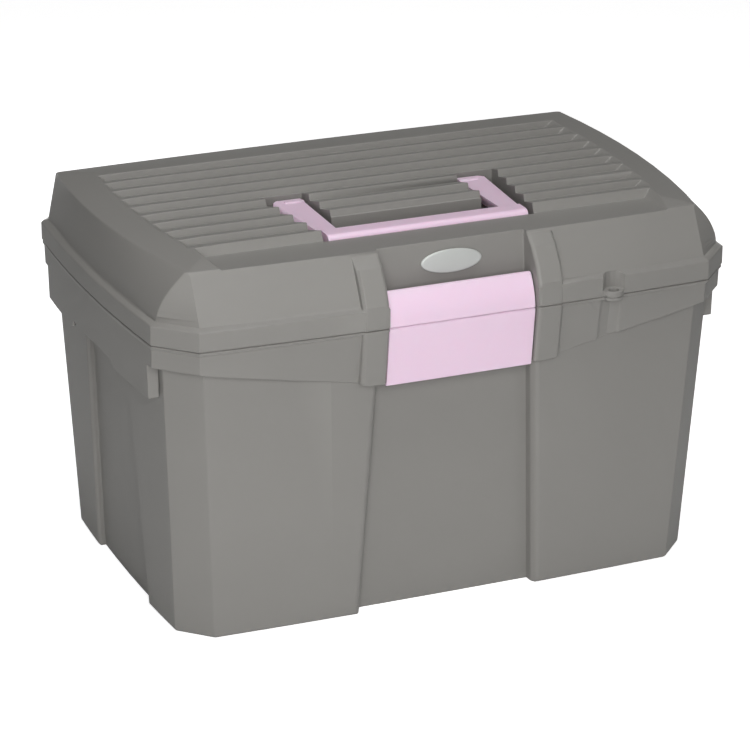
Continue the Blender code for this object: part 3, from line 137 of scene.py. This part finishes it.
@dataclass(frozen=True)
class Finish:
    """What a piece is made of, as a material that stays with the piece.

    Args:
        slot: the record's name for it.
        colour: its colour, linear red, green and blue.
        roughness: how dull its surface is, from 0 to 1.
        grain: height of the fine texture in its surface, in metres.
        drift: how far the colour wanders across a piece, as a share.
        wear_and_highlight: how much paler the convex edges are, as a share, for wear and a painted
            highlight along the edges.
    """

    slot: Slot
    colour: tuple[float, float, float]
    roughness: float
    grain: float
    drift: float
    wear_and_highlight: float

    def material(self) -> bpy.types.Material:
        """The finish as a material.

        Returns:
            The material, made the first time and shared from then on.
        """
        name = "look_" + self.slot.value
        found = bpy.data.materials.get(name)
        if found:
            return found
        made = bpy.data.materials.new(name)
        made.use_nodes = True
        made.diffuse_color = (*self.colour, 1.0)
        tree = made.node_tree
        shader = tree.nodes["Principled BSDF"]
        place = tree.nodes.new("ShaderNodeTexCoord")
        self._paint(tree, shader, place)
        self._texture(tree, shader, place)
        self._dress(tree, shader)
        return made

    def _shade(self, share: float) -> tuple[float, float, float, float]:
        """The colour, paler or darker by a share."""
        return (*(min(1.0, part * (1 + share)) for part in self.colour), 1.0)

    def _paint(
        self, tree: bpy.types.NodeTree, shader: bpy.types.Node, place: bpy.types.Node
    ) -> None:
        """Colour that drifts a little over the piece and is paler on convex edges, as wear and as
        a painted highlight.

        Args:
            tree: the material's nodes.
            shader: its shader.
            place: its texture coordinates.
        """
        broad = noise_node(tree, place.outputs["Object"], DRIFT_SCALE, DRIFT_DETAIL)
        darker, paler = self._shade(-self.drift), self._shade(self.drift)
        tones = ramp_node(tree, broad, DRIFT_SPAN, darker, paler)
        # Convex edges are made paler from their pointiness: wear, and a painted highlight along
        # the edges.
        edges = tree.nodes.new("ShaderNodeNewGeometry")
        edge_wear_and_highlight = ramp_node(tree, edges.outputs["Pointiness"], EDGE_WEAR_AND_HIGHLIGHT_SPAN, BLACK, WHITE)
        blend = tree.nodes.new("ShaderNodeMix")
        blend.data_type = "RGBA"
        colours = [socket for socket in blend.inputs if socket.type == "RGBA"]
        mixed = next(socket for socket in blend.outputs if socket.type == "RGBA")
        # The paler colour of the convex edges: wear, and a painted highlight.
        colours[1].default_value = self._shade(self.wear_and_highlight)
        tree.links.new(edge_wear_and_highlight, blend.inputs["Factor"])
        tree.links.new(tones, colours[0])
        tree.links.new(mixed, shader.inputs["Base Color"])

    def _texture(
        self, tree: bpy.types.NodeTree, shader: bpy.types.Node, place: bpy.types.Node
    ) -> None:
        """Fine even grain."""
        fine = noise_node(tree, place.outputs["Object"], GRAIN_SCALE, GRAIN_DETAIL)
        bump_node(tree, shader, fine, self.grain, GRAIN_STRENGTH)

    def _dress(self, tree: bpy.types.NodeTree, shader: bpy.types.Node) -> None:
        """How the surface takes the light."""
        shader.inputs["Roughness"].default_value = self.roughness


@dataclass(frozen=True)
class Moulded(Finish):
    """A plastic straight from the mould.

    Args:
        glow: share of the light that goes in and comes out again.
        sheen: share of soft light that it sends back at a low angle.
    """

    glow: float = 0.0
    sheen: float = 0.0

    def _dress(self, tree: bpy.types.NodeTree, shader: bpy.types.Node) -> None:
        """Satin plastic, a little see-through if it glows.

        Args:
            tree: the material's nodes.
            shader: its shader.
        """
        super()._dress(tree, shader)
        shader.inputs["Sheen Weight"].default_value = self.sheen
        shader.inputs["Sheen Roughness"].default_value = SHEEN_ROUGHNESS
        if self.glow:
            shader.inputs["Subsurface Weight"].default_value = self.glow
            shader.inputs["Subsurface Radius"].default_value = GLOW_REACH
            shader.inputs["Subsurface Scale"].default_value = 1.0


@dataclass(frozen=True)
class Metallic(Finish):
    """Metal, or plastic with a metal skin.

    Args:
        metal: share of it that shines as metal.
    """

    metal: float = 1.0

    def _texture(
        self, tree: bpy.types.NodeTree, shader: bpy.types.Node, place: bpy.types.Node
    ) -> None:
        """Fine lines along the piece.

        Args:
            tree: the material's nodes.
            shader: its shader.
            place: its texture coordinates.
        """
        stretch = tree.nodes.new("ShaderNodeMapping")
        stretch.inputs["Scale"].default_value = BRUSH_SCALE
        tree.links.new(place.outputs["Object"], stretch.inputs["Vector"])
        lines = noise_node(tree, stretch.outputs["Vector"], 1.0, GRAIN_DETAIL)
        bump_node(tree, shader, lines, self.grain, BRUSH_STRENGTH)

    def _dress(self, tree: bpy.types.NodeTree, shader: bpy.types.Node) -> None:
        """Shine of metal."""
        super()._dress(tree, shader)
        shader.inputs["Metallic"].default_value = self.metal


def noise_node(
    tree: bpy.types.NodeTree, place: bpy.types.NodeSocket, scale: float, detail: float
) -> bpy.types.NodeSocket:
    """A noise, in the space of its place.

    Args:
        tree: the material's nodes.
        place: socket of the coordinates that it is laid over.
        scale: how fine it is.
        detail: how many finer layers it has.

    Returns:
        The socket that holds its value.
    """
    noise = tree.nodes.new("ShaderNodeTexNoise")
    noise.inputs["Scale"].default_value = scale
    noise.inputs["Detail"].default_value = detail
    tree.links.new(place, noise.inputs["Vector"])
    return noise.outputs["Fac"]


def ramp_node(
    tree: bpy.types.NodeTree,
    value: bpy.types.NodeSocket,
    span: tuple[float, float],
    low: tuple[float, ...],
    high: tuple[float, ...],
) -> bpy.types.NodeSocket:
    """A change of colour from low to high while a value crosses a span.

    Args:
        tree: the material's nodes.
        value: socket of the value.
        span: the values at which the change starts and ends.
        low: the colour before it.
        high: the colour after it.

    Returns:
        The socket that holds the colour.
    """
    ramp = tree.nodes.new("ShaderNodeValToRGB")
    first, last = ramp.color_ramp.elements
    first.position, last.position = span
    first.color, last.color = low, high
    tree.links.new(value, ramp.inputs["Fac"])
    return ramp.outputs["Color"]


def bump_node(
    tree: bpy.types.NodeTree,
    shader: bpy.types.Node,
    height: bpy.types.NodeSocket,
    distance: float,
    strength: float,
) -> None:
    """Lets a height move the surface of a shader in and out.

    Args:
        tree: the material's nodes.
        shader: its shader.
        height: socket of the height, from 0 to 1.
        distance: how deep a height of 1 is, in metres.
        strength: how much of it shows, from 0 to 1.
    """
    bump = tree.nodes.new("ShaderNodeBump")
    bump.inputs["Strength"].default_value = strength
    bump.inputs["Distance"].default_value = distance
    tree.links.new(height, bump.inputs["Height"])
    tree.links.new(bump.outputs["Normal"], shader.inputs["Normal"])


GREY = Moulded(
    slot=Slot.GREY,
    colour=(0.266, 0.258, 0.243),
    roughness=0.48,
    grain=0.00012,
    drift=0.025,
    wear_and_highlight=0.08,
    sheen=0.05,
)
PINK = Moulded(
    slot=Slot.PINK,
    colour=(0.92, 0.69, 0.85),
    roughness=0.32,
    grain=0.00004,
    drift=0.015,
    wear_and_highlight=0.05,
    glow=0.25,
)
TRAY = Moulded(
    slot=Slot.TRAY,
    colour=(0.33, 0.325, 0.315),
    roughness=0.5,
    grain=0.00012,
    drift=0.02,
    wear_and_highlight=0.1,
)
SILVER = Metallic(
    slot=Slot.BADGE,
    colour=(0.62, 0.64, 0.62),
    roughness=0.5,
    grain=0.00002,
    drift=0.05,
    wear_and_highlight=0.08,
    metal=0.3,
)
STEEL = Metallic(
    slot=Slot.STEEL,
    colour=(0.45, 0.45, 0.46),
    roughness=0.35,
    grain=0.00003,
    drift=0.08,
    wear_and_highlight=0.1,
)

Radius = Callable[[Vector], float]

NORMAL_WEIGHT = 80
ROOM_LENGTHS = 3
ROOM_AT_CORNER = 1.1


def even(width: float) -> Radius:
    """The same rounding on every edge."""
    return lambda middle: width


@dataclass
class SoftPiece:
    """A piece of the part with its moulded edges rounded.

    Args:
        node: the piece of the part that it stands for.
        body: what it moves with.
        finish: what it is made of.
        radius: gives the rounding of an edge from its middle.
        widest: the largest rounding on this piece.
        segments: steps across a rounding.
        merge: distance below which two points are one.
        flat_degrees: turn below which two faces are one.
        edge_degrees: turn above which an edge is rounded.
        least: the smallest rounding that is made.
        share: share of the room beside an edge that its rounding may take.
        tries: how many times the rounding may be made again.
        ease: what is left of a rounding near a point where it tore.
        crisp: turn above which an edge without a rounding is shaded as sharp.
        far: how far a rounding may lie from the plain piece, as a share of the widest.
        turned: least agreement of a rounding's direction with the plain piece's.
        speck: area below which a tear can't be seen.
    """

    node: str
    body: Body
    finish: Finish
    radius: Radius
    widest: float = 1.0 * MM
    segments: int = 3
    merge: float = 0.002 * MM
    flat_degrees: float = 0.4
    edge_degrees: float = 14.0
    least: float = 0.08 * MM
    share: float = 0.42
    tries: int = 9
    ease: float = 0.55
    crisp: float = math.radians(25.0)
    far: float = 0.4
    turned: float = 0.05
    speck: float = 1e-8

    def build(self, frame: dict) -> bpy.types.Object:
        """Makes the rounded piece and hides the plain one.

        Args:
            frame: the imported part.

        Returns:
            The rounded piece, riding on its body.
        """
        plain = self._merged(frame["nodes"][self.node].data)
        surface = BVHTree.FromBMesh(plain)
        shares = [1.0] * len(plain.verts)
        for _ in range(self.tries):
            mesh = self._rounded(plain, shares)
            torn = self._torn(mesh, plain, surface)
            if not torn:
                break
            for index in torn:
                shares[index] *= self.ease
        plain.free()
        obj = bpy.data.objects.new(self.node + "_look", mesh)
        bpy.context.scene.collection.objects.link(obj)
        mesh.name = obj.name
        mesh.materials.append(self.finish.material())
        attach(obj, self.body.value)
        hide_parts(self.node)
        return obj

    def _merged(self, source: bpy.types.Mesh) -> bmesh.types.BMesh:
        """Copies the mesh with its points merged and its flat faces whole.

        Args:
            source: the plain piece's mesh.

        Returns:
            The copy, which the caller frees.
        """
        bm = bmesh.new()
        bm.from_mesh(source)
        bmesh.ops.remove_doubles(bm, verts=bm.verts, dist=self.merge)
        flat = math.radians(self.flat_degrees)
        bmesh.ops.dissolve_limit(
            bm, angle_limit=flat, verts=bm.verts, edges=bm.edges, delimit={"NORMAL"}
        )
        for face in bm.faces:
            face.smooth = True
        bm.edges.layers.float.new("bevel_weight_edge")
        for table in (bm.verts, bm.edges, bm.faces):
            table.ensure_lookup_table()
        bm.verts.index_update()
        return bm

    def _rounded(self, plain: bmesh.types.BMesh, shares: list[float]) -> bpy.types.Mesh:
        """Rounds the edges of a copy.

        Args:
            plain: the merged piece.
            shares: for each of its points, the share of the wanted rounding that it can take.

        Returns:
            The rounded mesh.
        """
        weights = plain.edges.layers.float["bevel_weight_edge"]
        rounded = {edge for edge in plain.edges if self._turns(edge)}
        for edge in plain.edges:
            edge[weights] = 0.0
            edge.smooth = True
            if edge not in rounded:
                continue
            start, end = (vert.co for vert in edge.verts)
            room = self.share * room_beside(edge, rounded)
            width = min(self.radius((start + end) / 2), self.widest, room)
            width *= min(shares[vert.index] for vert in edge.verts)
            if width > self.least:
                edge[weights] = width / self.widest
            else:
                edge.smooth = edge.calc_face_angle() < self.crisp
        mesh = bpy.data.meshes.new(self.node + "_plain")
        plain.to_mesh(mesh)
        obj = bpy.data.objects.new(self.node + "_plain", mesh)
        bpy.context.scene.collection.objects.link(obj)
        bevel = obj.modifiers.new("Edges", "BEVEL")
        bevel.limit_method = "WEIGHT"
        bevel.width = self.widest
        bevel.segments = self.segments
        bevel.use_clamp_overlap = False
        bevel.miter_outer = "MITER_SHARP"
        bevel.loop_slide = True
        normals = obj.modifiers.new("Normals", "WEIGHTED_NORMAL")
        normals.keep_sharp = True
        normals.weight = NORMAL_WEIGHT
        settle(obj)
        made = obj.data
        bpy.data.objects.remove(obj)
        return made

    def _torn(
        self, mesh: bpy.types.Mesh, plain: bmesh.types.BMesh, surface: BVHTree
    ) -> set[int]:
        """Points of the plain piece near which the rounding folds over or leaves the surface.

        Args:
            mesh: the rounded mesh.
            plain: the merged piece.
            surface: the plain piece's faces, for finding the nearest.

        Returns:
            Indices of the points.
        """
        points = KDTree(len(plain.verts))
        for vert in plain.verts:
            points.insert(vert.co, vert.index)
        points.balance()
        torn = set()
        mesh.calc_loop_triangles()
        for piece in mesh.loop_triangles:
            if piece.area < self.speck:
                continue
            corners = [mesh.vertices[index].co for index in piece.vertices]
            _, normal, _, away = surface.find_nearest(sum(corners, Vector()) / 3)
            if away > self.far * self.widest or piece.normal.dot(normal) < self.turned:
                torn.update(points.find(corner)[1] for corner in corners)
        return torn

    def _turns(self, edge: bmesh.types.BMEdge) -> bool:
        """Whether the surface turns enough at an edge to be rounded there.

        Args:
            edge: the edge.

        Returns:
            Whether it is rounded.
        """
        if len(edge.link_faces) != 2:
            return False
        return edge.calc_face_angle() > math.radians(self.edge_degrees)


def room_beside(edge: bmesh.types.BMEdge, rounded: set[bmesh.types.BMEdge]) -> float:
    """How far a rounding can reach from an edge before it meets something.

    Args:
        edge: the edge.
        rounded: the edges that are rounded.

    Returns:
        The width that is free beside the edge.
    """
    start = edge.verts[0].co
    along = edge.verts[1].co - start
    length = along.length
    room = length * ROOM_LENGTHS
    for face in edge.link_faces:
        depth = 0.0
        for vert in face.verts:
            away = vert.co - start
            depth = max(depth, (away - along * (away.dot(along) / length**2)).length)
        room = min(room, depth)
        for vert in edge.verts:
            for other in vert.link_edges:
                if other is edge or face not in other.link_faces:
                    continue
                here = edge.other_vert(vert).co - vert.co
                there = other.other_vert(vert).co - vert.co
                turn = here.angle(there, math.pi / 2)
                reach = there.length * (math.sin(turn) if turn < math.pi / 2 else 1.0)
                room = min(room, reach)
                if other in rounded:
                    shorter = min(length, there.length)
                    room = min(room, shorter * math.tan(turn / 2) * ROOM_AT_CORNER)
    return room


def settle(obj: bpy.types.Object) -> None:
    """Turns a piece's modifiers into its mesh.

    Args:
        obj: the piece, which keeps no modifier.
    """
    graph = bpy.context.evaluated_depsgraph_get()
    final = bpy.data.meshes.new_from_object(obj.evaluated_get(graph), depsgraph=graph)
    obj.modifiers.clear()
    old = obj.data
    obj.data = final
    bpy.data.meshes.remove(old)
    final.name = obj.name


class Assembly:
    """A group of pieces that are made together."""

    def pieces(self) -> list[SoftPiece]:
        """The pieces of the part in this group."""
        return []

    def extras(self, frame: dict) -> list[bpy.types.Object]:
        """Pieces beyond those of the part."""
        return []

    def build(self, frame: dict) -> list[bpy.types.Object]:
        """Makes the group.

        Args:
            frame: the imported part.

        Returns:
            Its pieces.
        """
        made = [piece.build(frame) for piece in self.pieces()]
        return made + self.extras(frame)


@dataclass
class Tub(Assembly):
    """The tub and the pins of the lid's hinges.

    Args:
        edge: rounding of its moulded edges.
        base: rounding where it stands on the floor.
        base_height: height up to which that rounding is used.
        seam: rounding at the seam with the lid.
        seam_height: height of that seam's edges.
        seam_reach: how far from that height an edge still belongs to the seam.
        pin_edge: rounding at the ends of the pins.
    """

    edge: float = 0.9 * MM
    base: float = 0.6 * MM
    base_height: float = 3.0 * MM
    seam: float = 0.3 * MM
    seam_height: float = 0.1985
    seam_reach: float = 1.2 * MM
    pin_edge: float = 0.3 * MM

    def radius(self, middle: Vector) -> float:
        """Rounding of an edge of the tub.

        Args:
            middle: the edge's middle.

        Returns:
            Its rounding.
        """
        if abs(middle.z - self.seam_height) < self.seam_reach:
            return self.seam
        return self.base if middle.z < self.base_height else self.edge

    def pieces(self) -> list[SoftPiece]:
        """The tub and its two steel pins.

        Returns:
            The pieces, not built yet.
        """
        tub = SoftPiece("tub", Body.TUB, GREY, self.radius, widest=self.edge)
        pins = [
            SoftPiece(node, Body.TUB, STEEL, even(self.pin_edge))
            for node in ("hinge_pin_left", "hinge_pin_right")
        ]
        return [tub, *pins]


@dataclass
class Lid(Assembly):
    """The lid with its ridges, and the pins that it holds.

    Args:
        edge: rounding of its moulded edges.
        crest: rounding of the ridges on top.
        ridge_height: height above which an edge belongs to the ridges.
        ridge_half: half the length of the ridges.
        seam: rounding at the seam with the tub.
        seam_height: height below which an edge belongs to the seam.
        flange: rounding along the top of the flange.
        flange_heights: heights between which an edge belongs to that top.
        pin_edge: rounding at the ends of the pins.
    """

    edge: float = 0.9 * MM
    crest: float = 0.5 * MM
    ridge_height: float = 0.2405
    ridge_half: float = 0.160
    seam: float = 0.3 * MM
    seam_height: float = 0.2
    flange: float = 1.3 * MM
    flange_heights: tuple[float, float] = (0.2105, 0.2145)
    pin_edge: float = 0.3 * MM

    def radius(self, middle: Vector) -> float:
        """Rounding of an edge of the lid.

        Args:
            middle: the edge's middle.

        Returns:
            Its rounding.
        """
        if middle.z < self.seam_height:
            return self.seam
        if self.flange_heights[0] < middle.z < self.flange_heights[1]:
            return self.flange
        if middle.z > self.ridge_height and abs(middle.x) < self.ridge_half:
            return self.crest
        return self.edge

    def pieces(self) -> list[SoftPiece]:
        """The lid and its three steel pins.

        Returns:
            The pieces, not built yet.
        """
        lid = SoftPiece("lid", Body.LID, GREY, self.radius, widest=self.flange)
        pins = [
            SoftPiece(node, Body.LID, STEEL, even(self.pin_edge))
            for node in ("latch_pin", "handle_pin_left", "handle_pin_right")
        ]
        return [lid, *pins]


@dataclass
class Badge(Assembly):
    """The bare badge.

    Args:
        edge: rounding of its rim.
    """

    edge: float = 0.4 * MM

    def pieces(self) -> list[SoftPiece]:
        """The badge alone."""
        return [SoftPiece("badge", Body.LID, SILVER, even(self.edge))]


@dataclass
class Handle(Assembly):
    """The bail handle.

    Args:
        edge: rounding of its edges.
    """

    edge: float = 1.0 * MM

    def pieces(self) -> list[SoftPiece]:
        """The handle alone."""
        return [SoftPiece("handle", Body.HANDLE, PINK, even(self.edge))]


@dataclass
class Latch(Assembly):
    """Both halves of the folding latch, and the film of plastic that joins them.

    Args:
        edge: rounding of their edges.
        film_radius: half the thickness of the film.
        film_half: half its length.
        film_place: where it lies along Y and Z, on the line that the latch folds on.
        film_end: length over which its ends taper.
        film_sides: steps around it.
    """

    edge: float = 0.8 * MM
    film_radius: float = 0.17 * MM
    film_half: float = 48.5 * MM
    film_place: tuple[float, float] = (-0.1327, 0.198)
    film_end: float = 0.4 * MM
    film_sides: int = 12

    def pieces(self) -> list[SoftPiece]:
        """The half above the fold and the one below it.

        Returns:
            The pieces, not built yet.
        """
        return [
            SoftPiece("latch_upper", Body.LATCH_UPPER, PINK, even(self.edge)),
            SoftPiece("latch_lower", Body.LATCH_LOWER, PINK, even(self.edge)),
        ]

    def extras(self, frame: dict) -> list[bpy.types.Object]:
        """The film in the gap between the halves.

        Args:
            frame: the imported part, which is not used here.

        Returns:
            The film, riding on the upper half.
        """
        across, height = self.film_place
        inner = self.film_half - self.film_end
        bm = bmesh.new()
        rings = []
        tip = self.film_radius / 2
        places = (-self.film_half, -inner, inner, self.film_half)
        for x, reach in zip(places, (tip, self.film_radius, self.film_radius, tip)):
            points = []
            for step in range(self.film_sides):
                angle = math.tau * step / self.film_sides
                place = (x, across + reach * math.cos(angle), height + reach * math.sin(angle))
                points.append(bm.verts.new(place))
            rings.append(points)
        for left, right in zip(rings, rings[1:]):
            for step in range(self.film_sides):
                after = (step + 1) % self.film_sides
                bm.faces.new((left[step], left[after], right[after], right[step])).smooth = True
        bm.faces.new(rings[0])
        bm.faces.new(rings[-1])
        bmesh.ops.recalc_face_normals(bm, faces=bm.faces)
        mesh = bpy.data.meshes.new("latch_film")
        bm.to_mesh(mesh)
        bm.free()
        film = bpy.data.objects.new("latch_film", mesh)
        bpy.context.scene.collection.objects.link(film)
        mesh.materials.append(PINK.material())
        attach(film, Body.LATCH_UPPER.value)
        return [film]


@dataclass
class Tray(Assembly):
    """The lift-out tray, its dividers and the grip ribs on its floor.

    Args:
        edge: rounding of the tray's edges.
        divider_edge: rounding of the dividers' edges.
        rib_radius: half the width of a grip rib.
        rib_pitch: distance from one rib to the next.
        rib_count: how many ribs there are.
        rib_span: where a rib starts and ends along Y.
        rib_sides: steps around a rib.
        floor: height of the tray's floor.
    """

    edge: float = 0.6 * MM
    divider_edge: float = 0.4 * MM
    rib_radius: float = 0.6 * MM
    rib_pitch: float = 8.0 * MM
    rib_count: int = 38
    rib_span: tuple[float, float] = (0.006, 0.092)
    rib_sides: int = 10
    floor: float = 0.1523

    def pieces(self) -> list[SoftPiece]:
        """The tray and its two dividers.

        Returns:
            The pieces, not built yet.
        """
        tray = SoftPiece("tray", Body.TRAY, TRAY, even(self.edge))
        dividers = [
            SoftPiece(node, Body.TRAY, TRAY, even(self.divider_edge))
            for node in ("tray_divider_left", "tray_divider_right")
        ]
        return [tray, *dividers]

    def extras(self, frame: dict) -> list[bpy.types.Object]:
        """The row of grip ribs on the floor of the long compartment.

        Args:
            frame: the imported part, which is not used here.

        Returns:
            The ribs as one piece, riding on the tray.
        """
        mesh = bpy.data.meshes.new("tray_ribs")
        ribs = bpy.data.objects.new("tray_ribs", mesh)
        bpy.context.scene.collection.objects.link(ribs)
        row = ribs.modifiers.new("Row", "NODES")
        row.node_group = self._row()
        half = self.rib_pitch * (self.rib_count - 1) / 2
        values = {
            "Count": self.rib_count,
            "Pitch": self.rib_pitch,
            "First": (-half, self.rib_span[0], self.floor),
            "Length": self.rib_span[1] - self.rib_span[0],
            "Radius": self.rib_radius,
            "Sides": self.rib_sides,
            "Finish": TRAY.material(),
        }
        for socket in row.node_group.interface.items_tree:
            if socket.item_type == "SOCKET" and socket.in_out == "INPUT":
                row[socket.identifier] = values[socket.name]
        ribs.update_tag()
        settle(ribs)
        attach(ribs, Body.TRAY.value)
        return [ribs]

    @staticmethod
    def _row() -> bpy.types.NodeTree:
        """Node tree that sets a rounded rib at each step of a row.

        Returns:
            The tree, with an input for each size.
        """
        tree = bpy.data.node_groups.new("rib_row", "GeometryNodeTree")
        kinds = {
            "Count": "NodeSocketInt",
            "Pitch": "NodeSocketFloat",
            "First": "NodeSocketVector",
            "Length": "NodeSocketFloat",
            "Radius": "NodeSocketFloat",
            "Sides": "NodeSocketInt",
            "Finish": "NodeSocketMaterial",
        }
        for name, kind in kinds.items():
            tree.interface.new_socket(name=name, in_out="INPUT", socket_type=kind)
        tree.interface.new_socket(name="Ribs", in_out="OUTPUT", socket_type="NodeSocketGeometry")
        given = tree.nodes.new("NodeGroupInput").outputs
        step = tree.nodes.new("ShaderNodeCombineXYZ")
        tree.links.new(given["Pitch"], step.inputs["X"])
        row = tree.nodes.new("GeometryNodeMeshLine")
        tree.links.new(given["Count"], row.inputs["Count"])
        tree.links.new(given["First"], row.inputs["Start Location"])
        tree.links.new(step.outputs["Vector"], row.inputs["Offset"])
        reach = tree.nodes.new("ShaderNodeCombineXYZ")
        tree.links.new(given["Length"], reach.inputs["Y"])
        line = tree.nodes.new("GeometryNodeCurvePrimitiveLine")
        tree.links.new(reach.outputs["Vector"], line.inputs["End"])
        section = tree.nodes.new("GeometryNodeCurvePrimitiveCircle")
        tree.links.new(given["Sides"], section.inputs["Resolution"])
        tree.links.new(given["Radius"], section.inputs["Radius"])
        rib = tree.nodes.new("GeometryNodeCurveToMesh")
        rib.inputs["Fill Caps"].default_value = True
        tree.links.new(line.outputs["Curve"], rib.inputs["Curve"])
        tree.links.new(section.outputs["Curve"], rib.inputs["Profile Curve"])
        copies = tree.nodes.new("GeometryNodeInstanceOnPoints")
        tree.links.new(row.outputs["Mesh"], copies.inputs["Points"])
        tree.links.new(rib.outputs["Mesh"], copies.inputs["Instance"])
        real = tree.nodes.new("GeometryNodeRealizeInstances")
        tree.links.new(copies.outputs["Instances"], real.inputs["Geometry"])
        painted = tree.nodes.new("GeometryNodeSetMaterial")
        tree.links.new(real.outputs["Geometry"], painted.inputs["Geometry"])
        tree.links.new(given["Finish"], painted.inputs["Material"])
        result = tree.nodes.new("NodeGroupOutput")
        tree.links.new(painted.outputs["Geometry"], result.inputs["Ribs"])
        return tree


@dataclass(frozen=True)
class Lamp:
    """A square soft lamp that looks at a point.

    Args:
        name: its name.
        place: where it hangs.
        aim: the point that it looks at.
        size: length of its side.
        power: its power in watts.
        spread: how wide its light opens, in degrees.
    """

    name: str
    place: tuple[float, float, float]
    aim: tuple[float, float, float]
    size: float
    power: float
    spread: float = 180.0

    def build(self) -> None:
        """Hangs the lamp."""
        data = bpy.data.lights.new(self.name, "AREA")
        data.size = self.size
        data.energy = self.power
        data.spread = math.radians(self.spread)
        lamp = bpy.data.objects.new(self.name, data)
        bpy.context.scene.collection.objects.link(lamp)
        lamp.location = self.place
        look = Vector(self.aim) - Vector(self.place)
        lamp.rotation_euler = look.to_track_quat("-Z", "Y").to_euler()


@dataclass
class Studio:
    """The pale floor, the soft light and the camera.

    Args:
        lamps: the lamps.
        ambient: how bright the surroundings are for the box.
        floor_half: half the width of the floor.
        floor_colour: its colour.
        floor_roughness: how dull it is, from 0 to 1.
        floor_lift: light that the floor adds for the camera, so that it is white.
        pitch: how far the camera looks down, in degrees.
        yaw: how far it stands to the left of the front, in degrees.
        roll: how far it leans, in degrees.
        place: where the camera is.
        focal_px: its focal length in the photo's pixels.
        centre_px: the photo's point on its axis.
        picture_px: the photo's width and height.
        sensor: width of its sensor in millimetres.
        clip: nearest and farthest distance that it sees.
    """

    lamps: tuple[Lamp, ...] = (
        Lamp("key", (-0.6, -1.3, 0.6), (-0.12, -0.13, 0.14), size=0.7, power=8.4),
        Lamp("near", (-0.25, -1.15, 0.85), (-0.12, -0.13, 0.14), size=0.5, power=0.7, spread=80.0),
        Lamp("top", (0.0, -0.3, 2.0), (0.0, 0.0, 0.2), size=1.0, power=16.0),
        Lamp("right", (1.1, 0.9, 0.12), (0.19, 0.0, 0.12), size=0.22, power=0.5, spread=60.0),
        Lamp("back", (-0.1, 1.5, 0.12), (0.0, 0.13, 0.12), size=0.22, power=1.3, spread=60.0),
    )
    ambient: float = 0.04
    floor_half: float = 6.0
    floor_colour: tuple[float, float, float, float] = (0.9, 0.9, 0.9, 1.0)
    floor_roughness: float = 0.9
    floor_lift: float = 0.8
    pitch: float = 21.25
    yaw: float = 23.25
    roll: float = 0.24
    place: tuple[float, float, float] = (-0.7853, -1.8242, 0.8855)
    focal_px: float = 3219.31
    centre_px: tuple[float, float] = (375.9, 374.62)
    picture_px: float = 750.0
    sensor: float = 36.0
    clip: tuple[float, float] = (0.1, 50.0)

    def build(self) -> None:
        """Sets the stage."""
        self._floor()
        self._world()
        for lamp in self.lamps:
            lamp.build()
        self._camera()

    def _floor(self) -> None:
        """A white floor that keeps the shadow of the box."""
        mesh = bpy.data.meshes.new("floor")
        bm = bmesh.new()
        bmesh.ops.create_grid(bm, x_segments=2, y_segments=2, size=self.floor_half)
        bm.to_mesh(mesh)
        bm.free()
        floor = bpy.data.objects.new("floor", mesh)
        bpy.context.scene.collection.objects.link(floor)
        made = bpy.data.materials.new("floor")
        made.use_nodes = True
        tree = made.node_tree
        shader = tree.nodes["Principled BSDF"]
        shader.inputs["Base Color"].default_value = self.floor_colour
        shader.inputs["Roughness"].default_value = self.floor_roughness
        shader.inputs["Emission Color"].default_value = WHITE
        path = tree.nodes.new("ShaderNodeLightPath")
        lift = tree.nodes.new("ShaderNodeMath")
        lift.operation = "MULTIPLY"
        lift.inputs[1].default_value = self.floor_lift
        tree.links.new(path.outputs["Is Camera Ray"], lift.inputs[0])
        tree.links.new(lift.outputs["Value"], shader.inputs["Emission Strength"])
        mesh.materials.append(made)
        floor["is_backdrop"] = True

    def _world(self) -> None:
        """White for the camera, and softer all round for the box."""
        world = bpy.data.worlds.new("studio")
        bpy.context.scene.world = world
        world.use_nodes = True
        tree = world.node_tree
        sky = tree.nodes["Background"]
        sky.inputs["Color"].default_value = WHITE
        path = tree.nodes.new("ShaderNodeLightPath")
        level = tree.nodes.new("ShaderNodeMapRange")
        level.inputs["To Min"].default_value = self.ambient
        level.inputs["To Max"].default_value = 1.0
        tree.links.new(path.outputs["Is Camera Ray"], level.inputs["Value"])
        tree.links.new(level.outputs["Result"], sky.inputs["Strength"])

    def _camera(self) -> None:
        """The camera of the photo."""
        yaw, pitch, roll = (math.radians(turn) for turn in (self.yaw, self.pitch, self.roll))
        level = math.cos(pitch)
        ahead = Vector((level * math.sin(yaw), level * math.cos(yaw), -math.sin(pitch)))
        right = ahead.cross(Vector((0, 0, 1))).normalized()
        up = right.cross(ahead)
        leant_right = right * math.cos(roll) + up * math.sin(roll)
        leant_up = -right * math.sin(roll) + up * math.cos(roll)
        data = bpy.data.cameras.new("camera")
        data.sensor_width = self.sensor
        data.lens = data.sensor_width * self.focal_px / self.picture_px
        half = self.picture_px / 2
        data.shift_x = -(self.centre_px[0] - half) / self.picture_px
        data.shift_y = (self.centre_px[1] - half) / self.picture_px
        data.clip_start, data.clip_end = self.clip
        camera = bpy.data.objects.new("camera", data)
        bpy.context.scene.collection.objects.link(camera)
        turned = Matrix((leant_right, leant_up, -ahead)).transposed().to_4x4()
        camera.matrix_world = Matrix.Translation(Vector(self.place)) @ turned
        bpy.context.scene.camera = camera
        bpy.context.scene.view_settings.view_transform = "Standard"


def corners() -> list[list[float]]:
    """The box's lowest and highest corner as plain lists."""
    return [list(corner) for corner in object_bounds()]


def main() -> None:
    """Builds the looks, group by group."""
    logging.basicConfig(level=logging.INFO, format="%(message)s")
    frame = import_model()
    for group in (Tub(), Lid(), Badge(), Handle(), Latch(), Tray()):
        for made in group.build(frame):
            LOG.info("%s: %d faces", made.name, len(made.data.polygons))
    Studio().build()


if __name__ == "__main__":
    main()
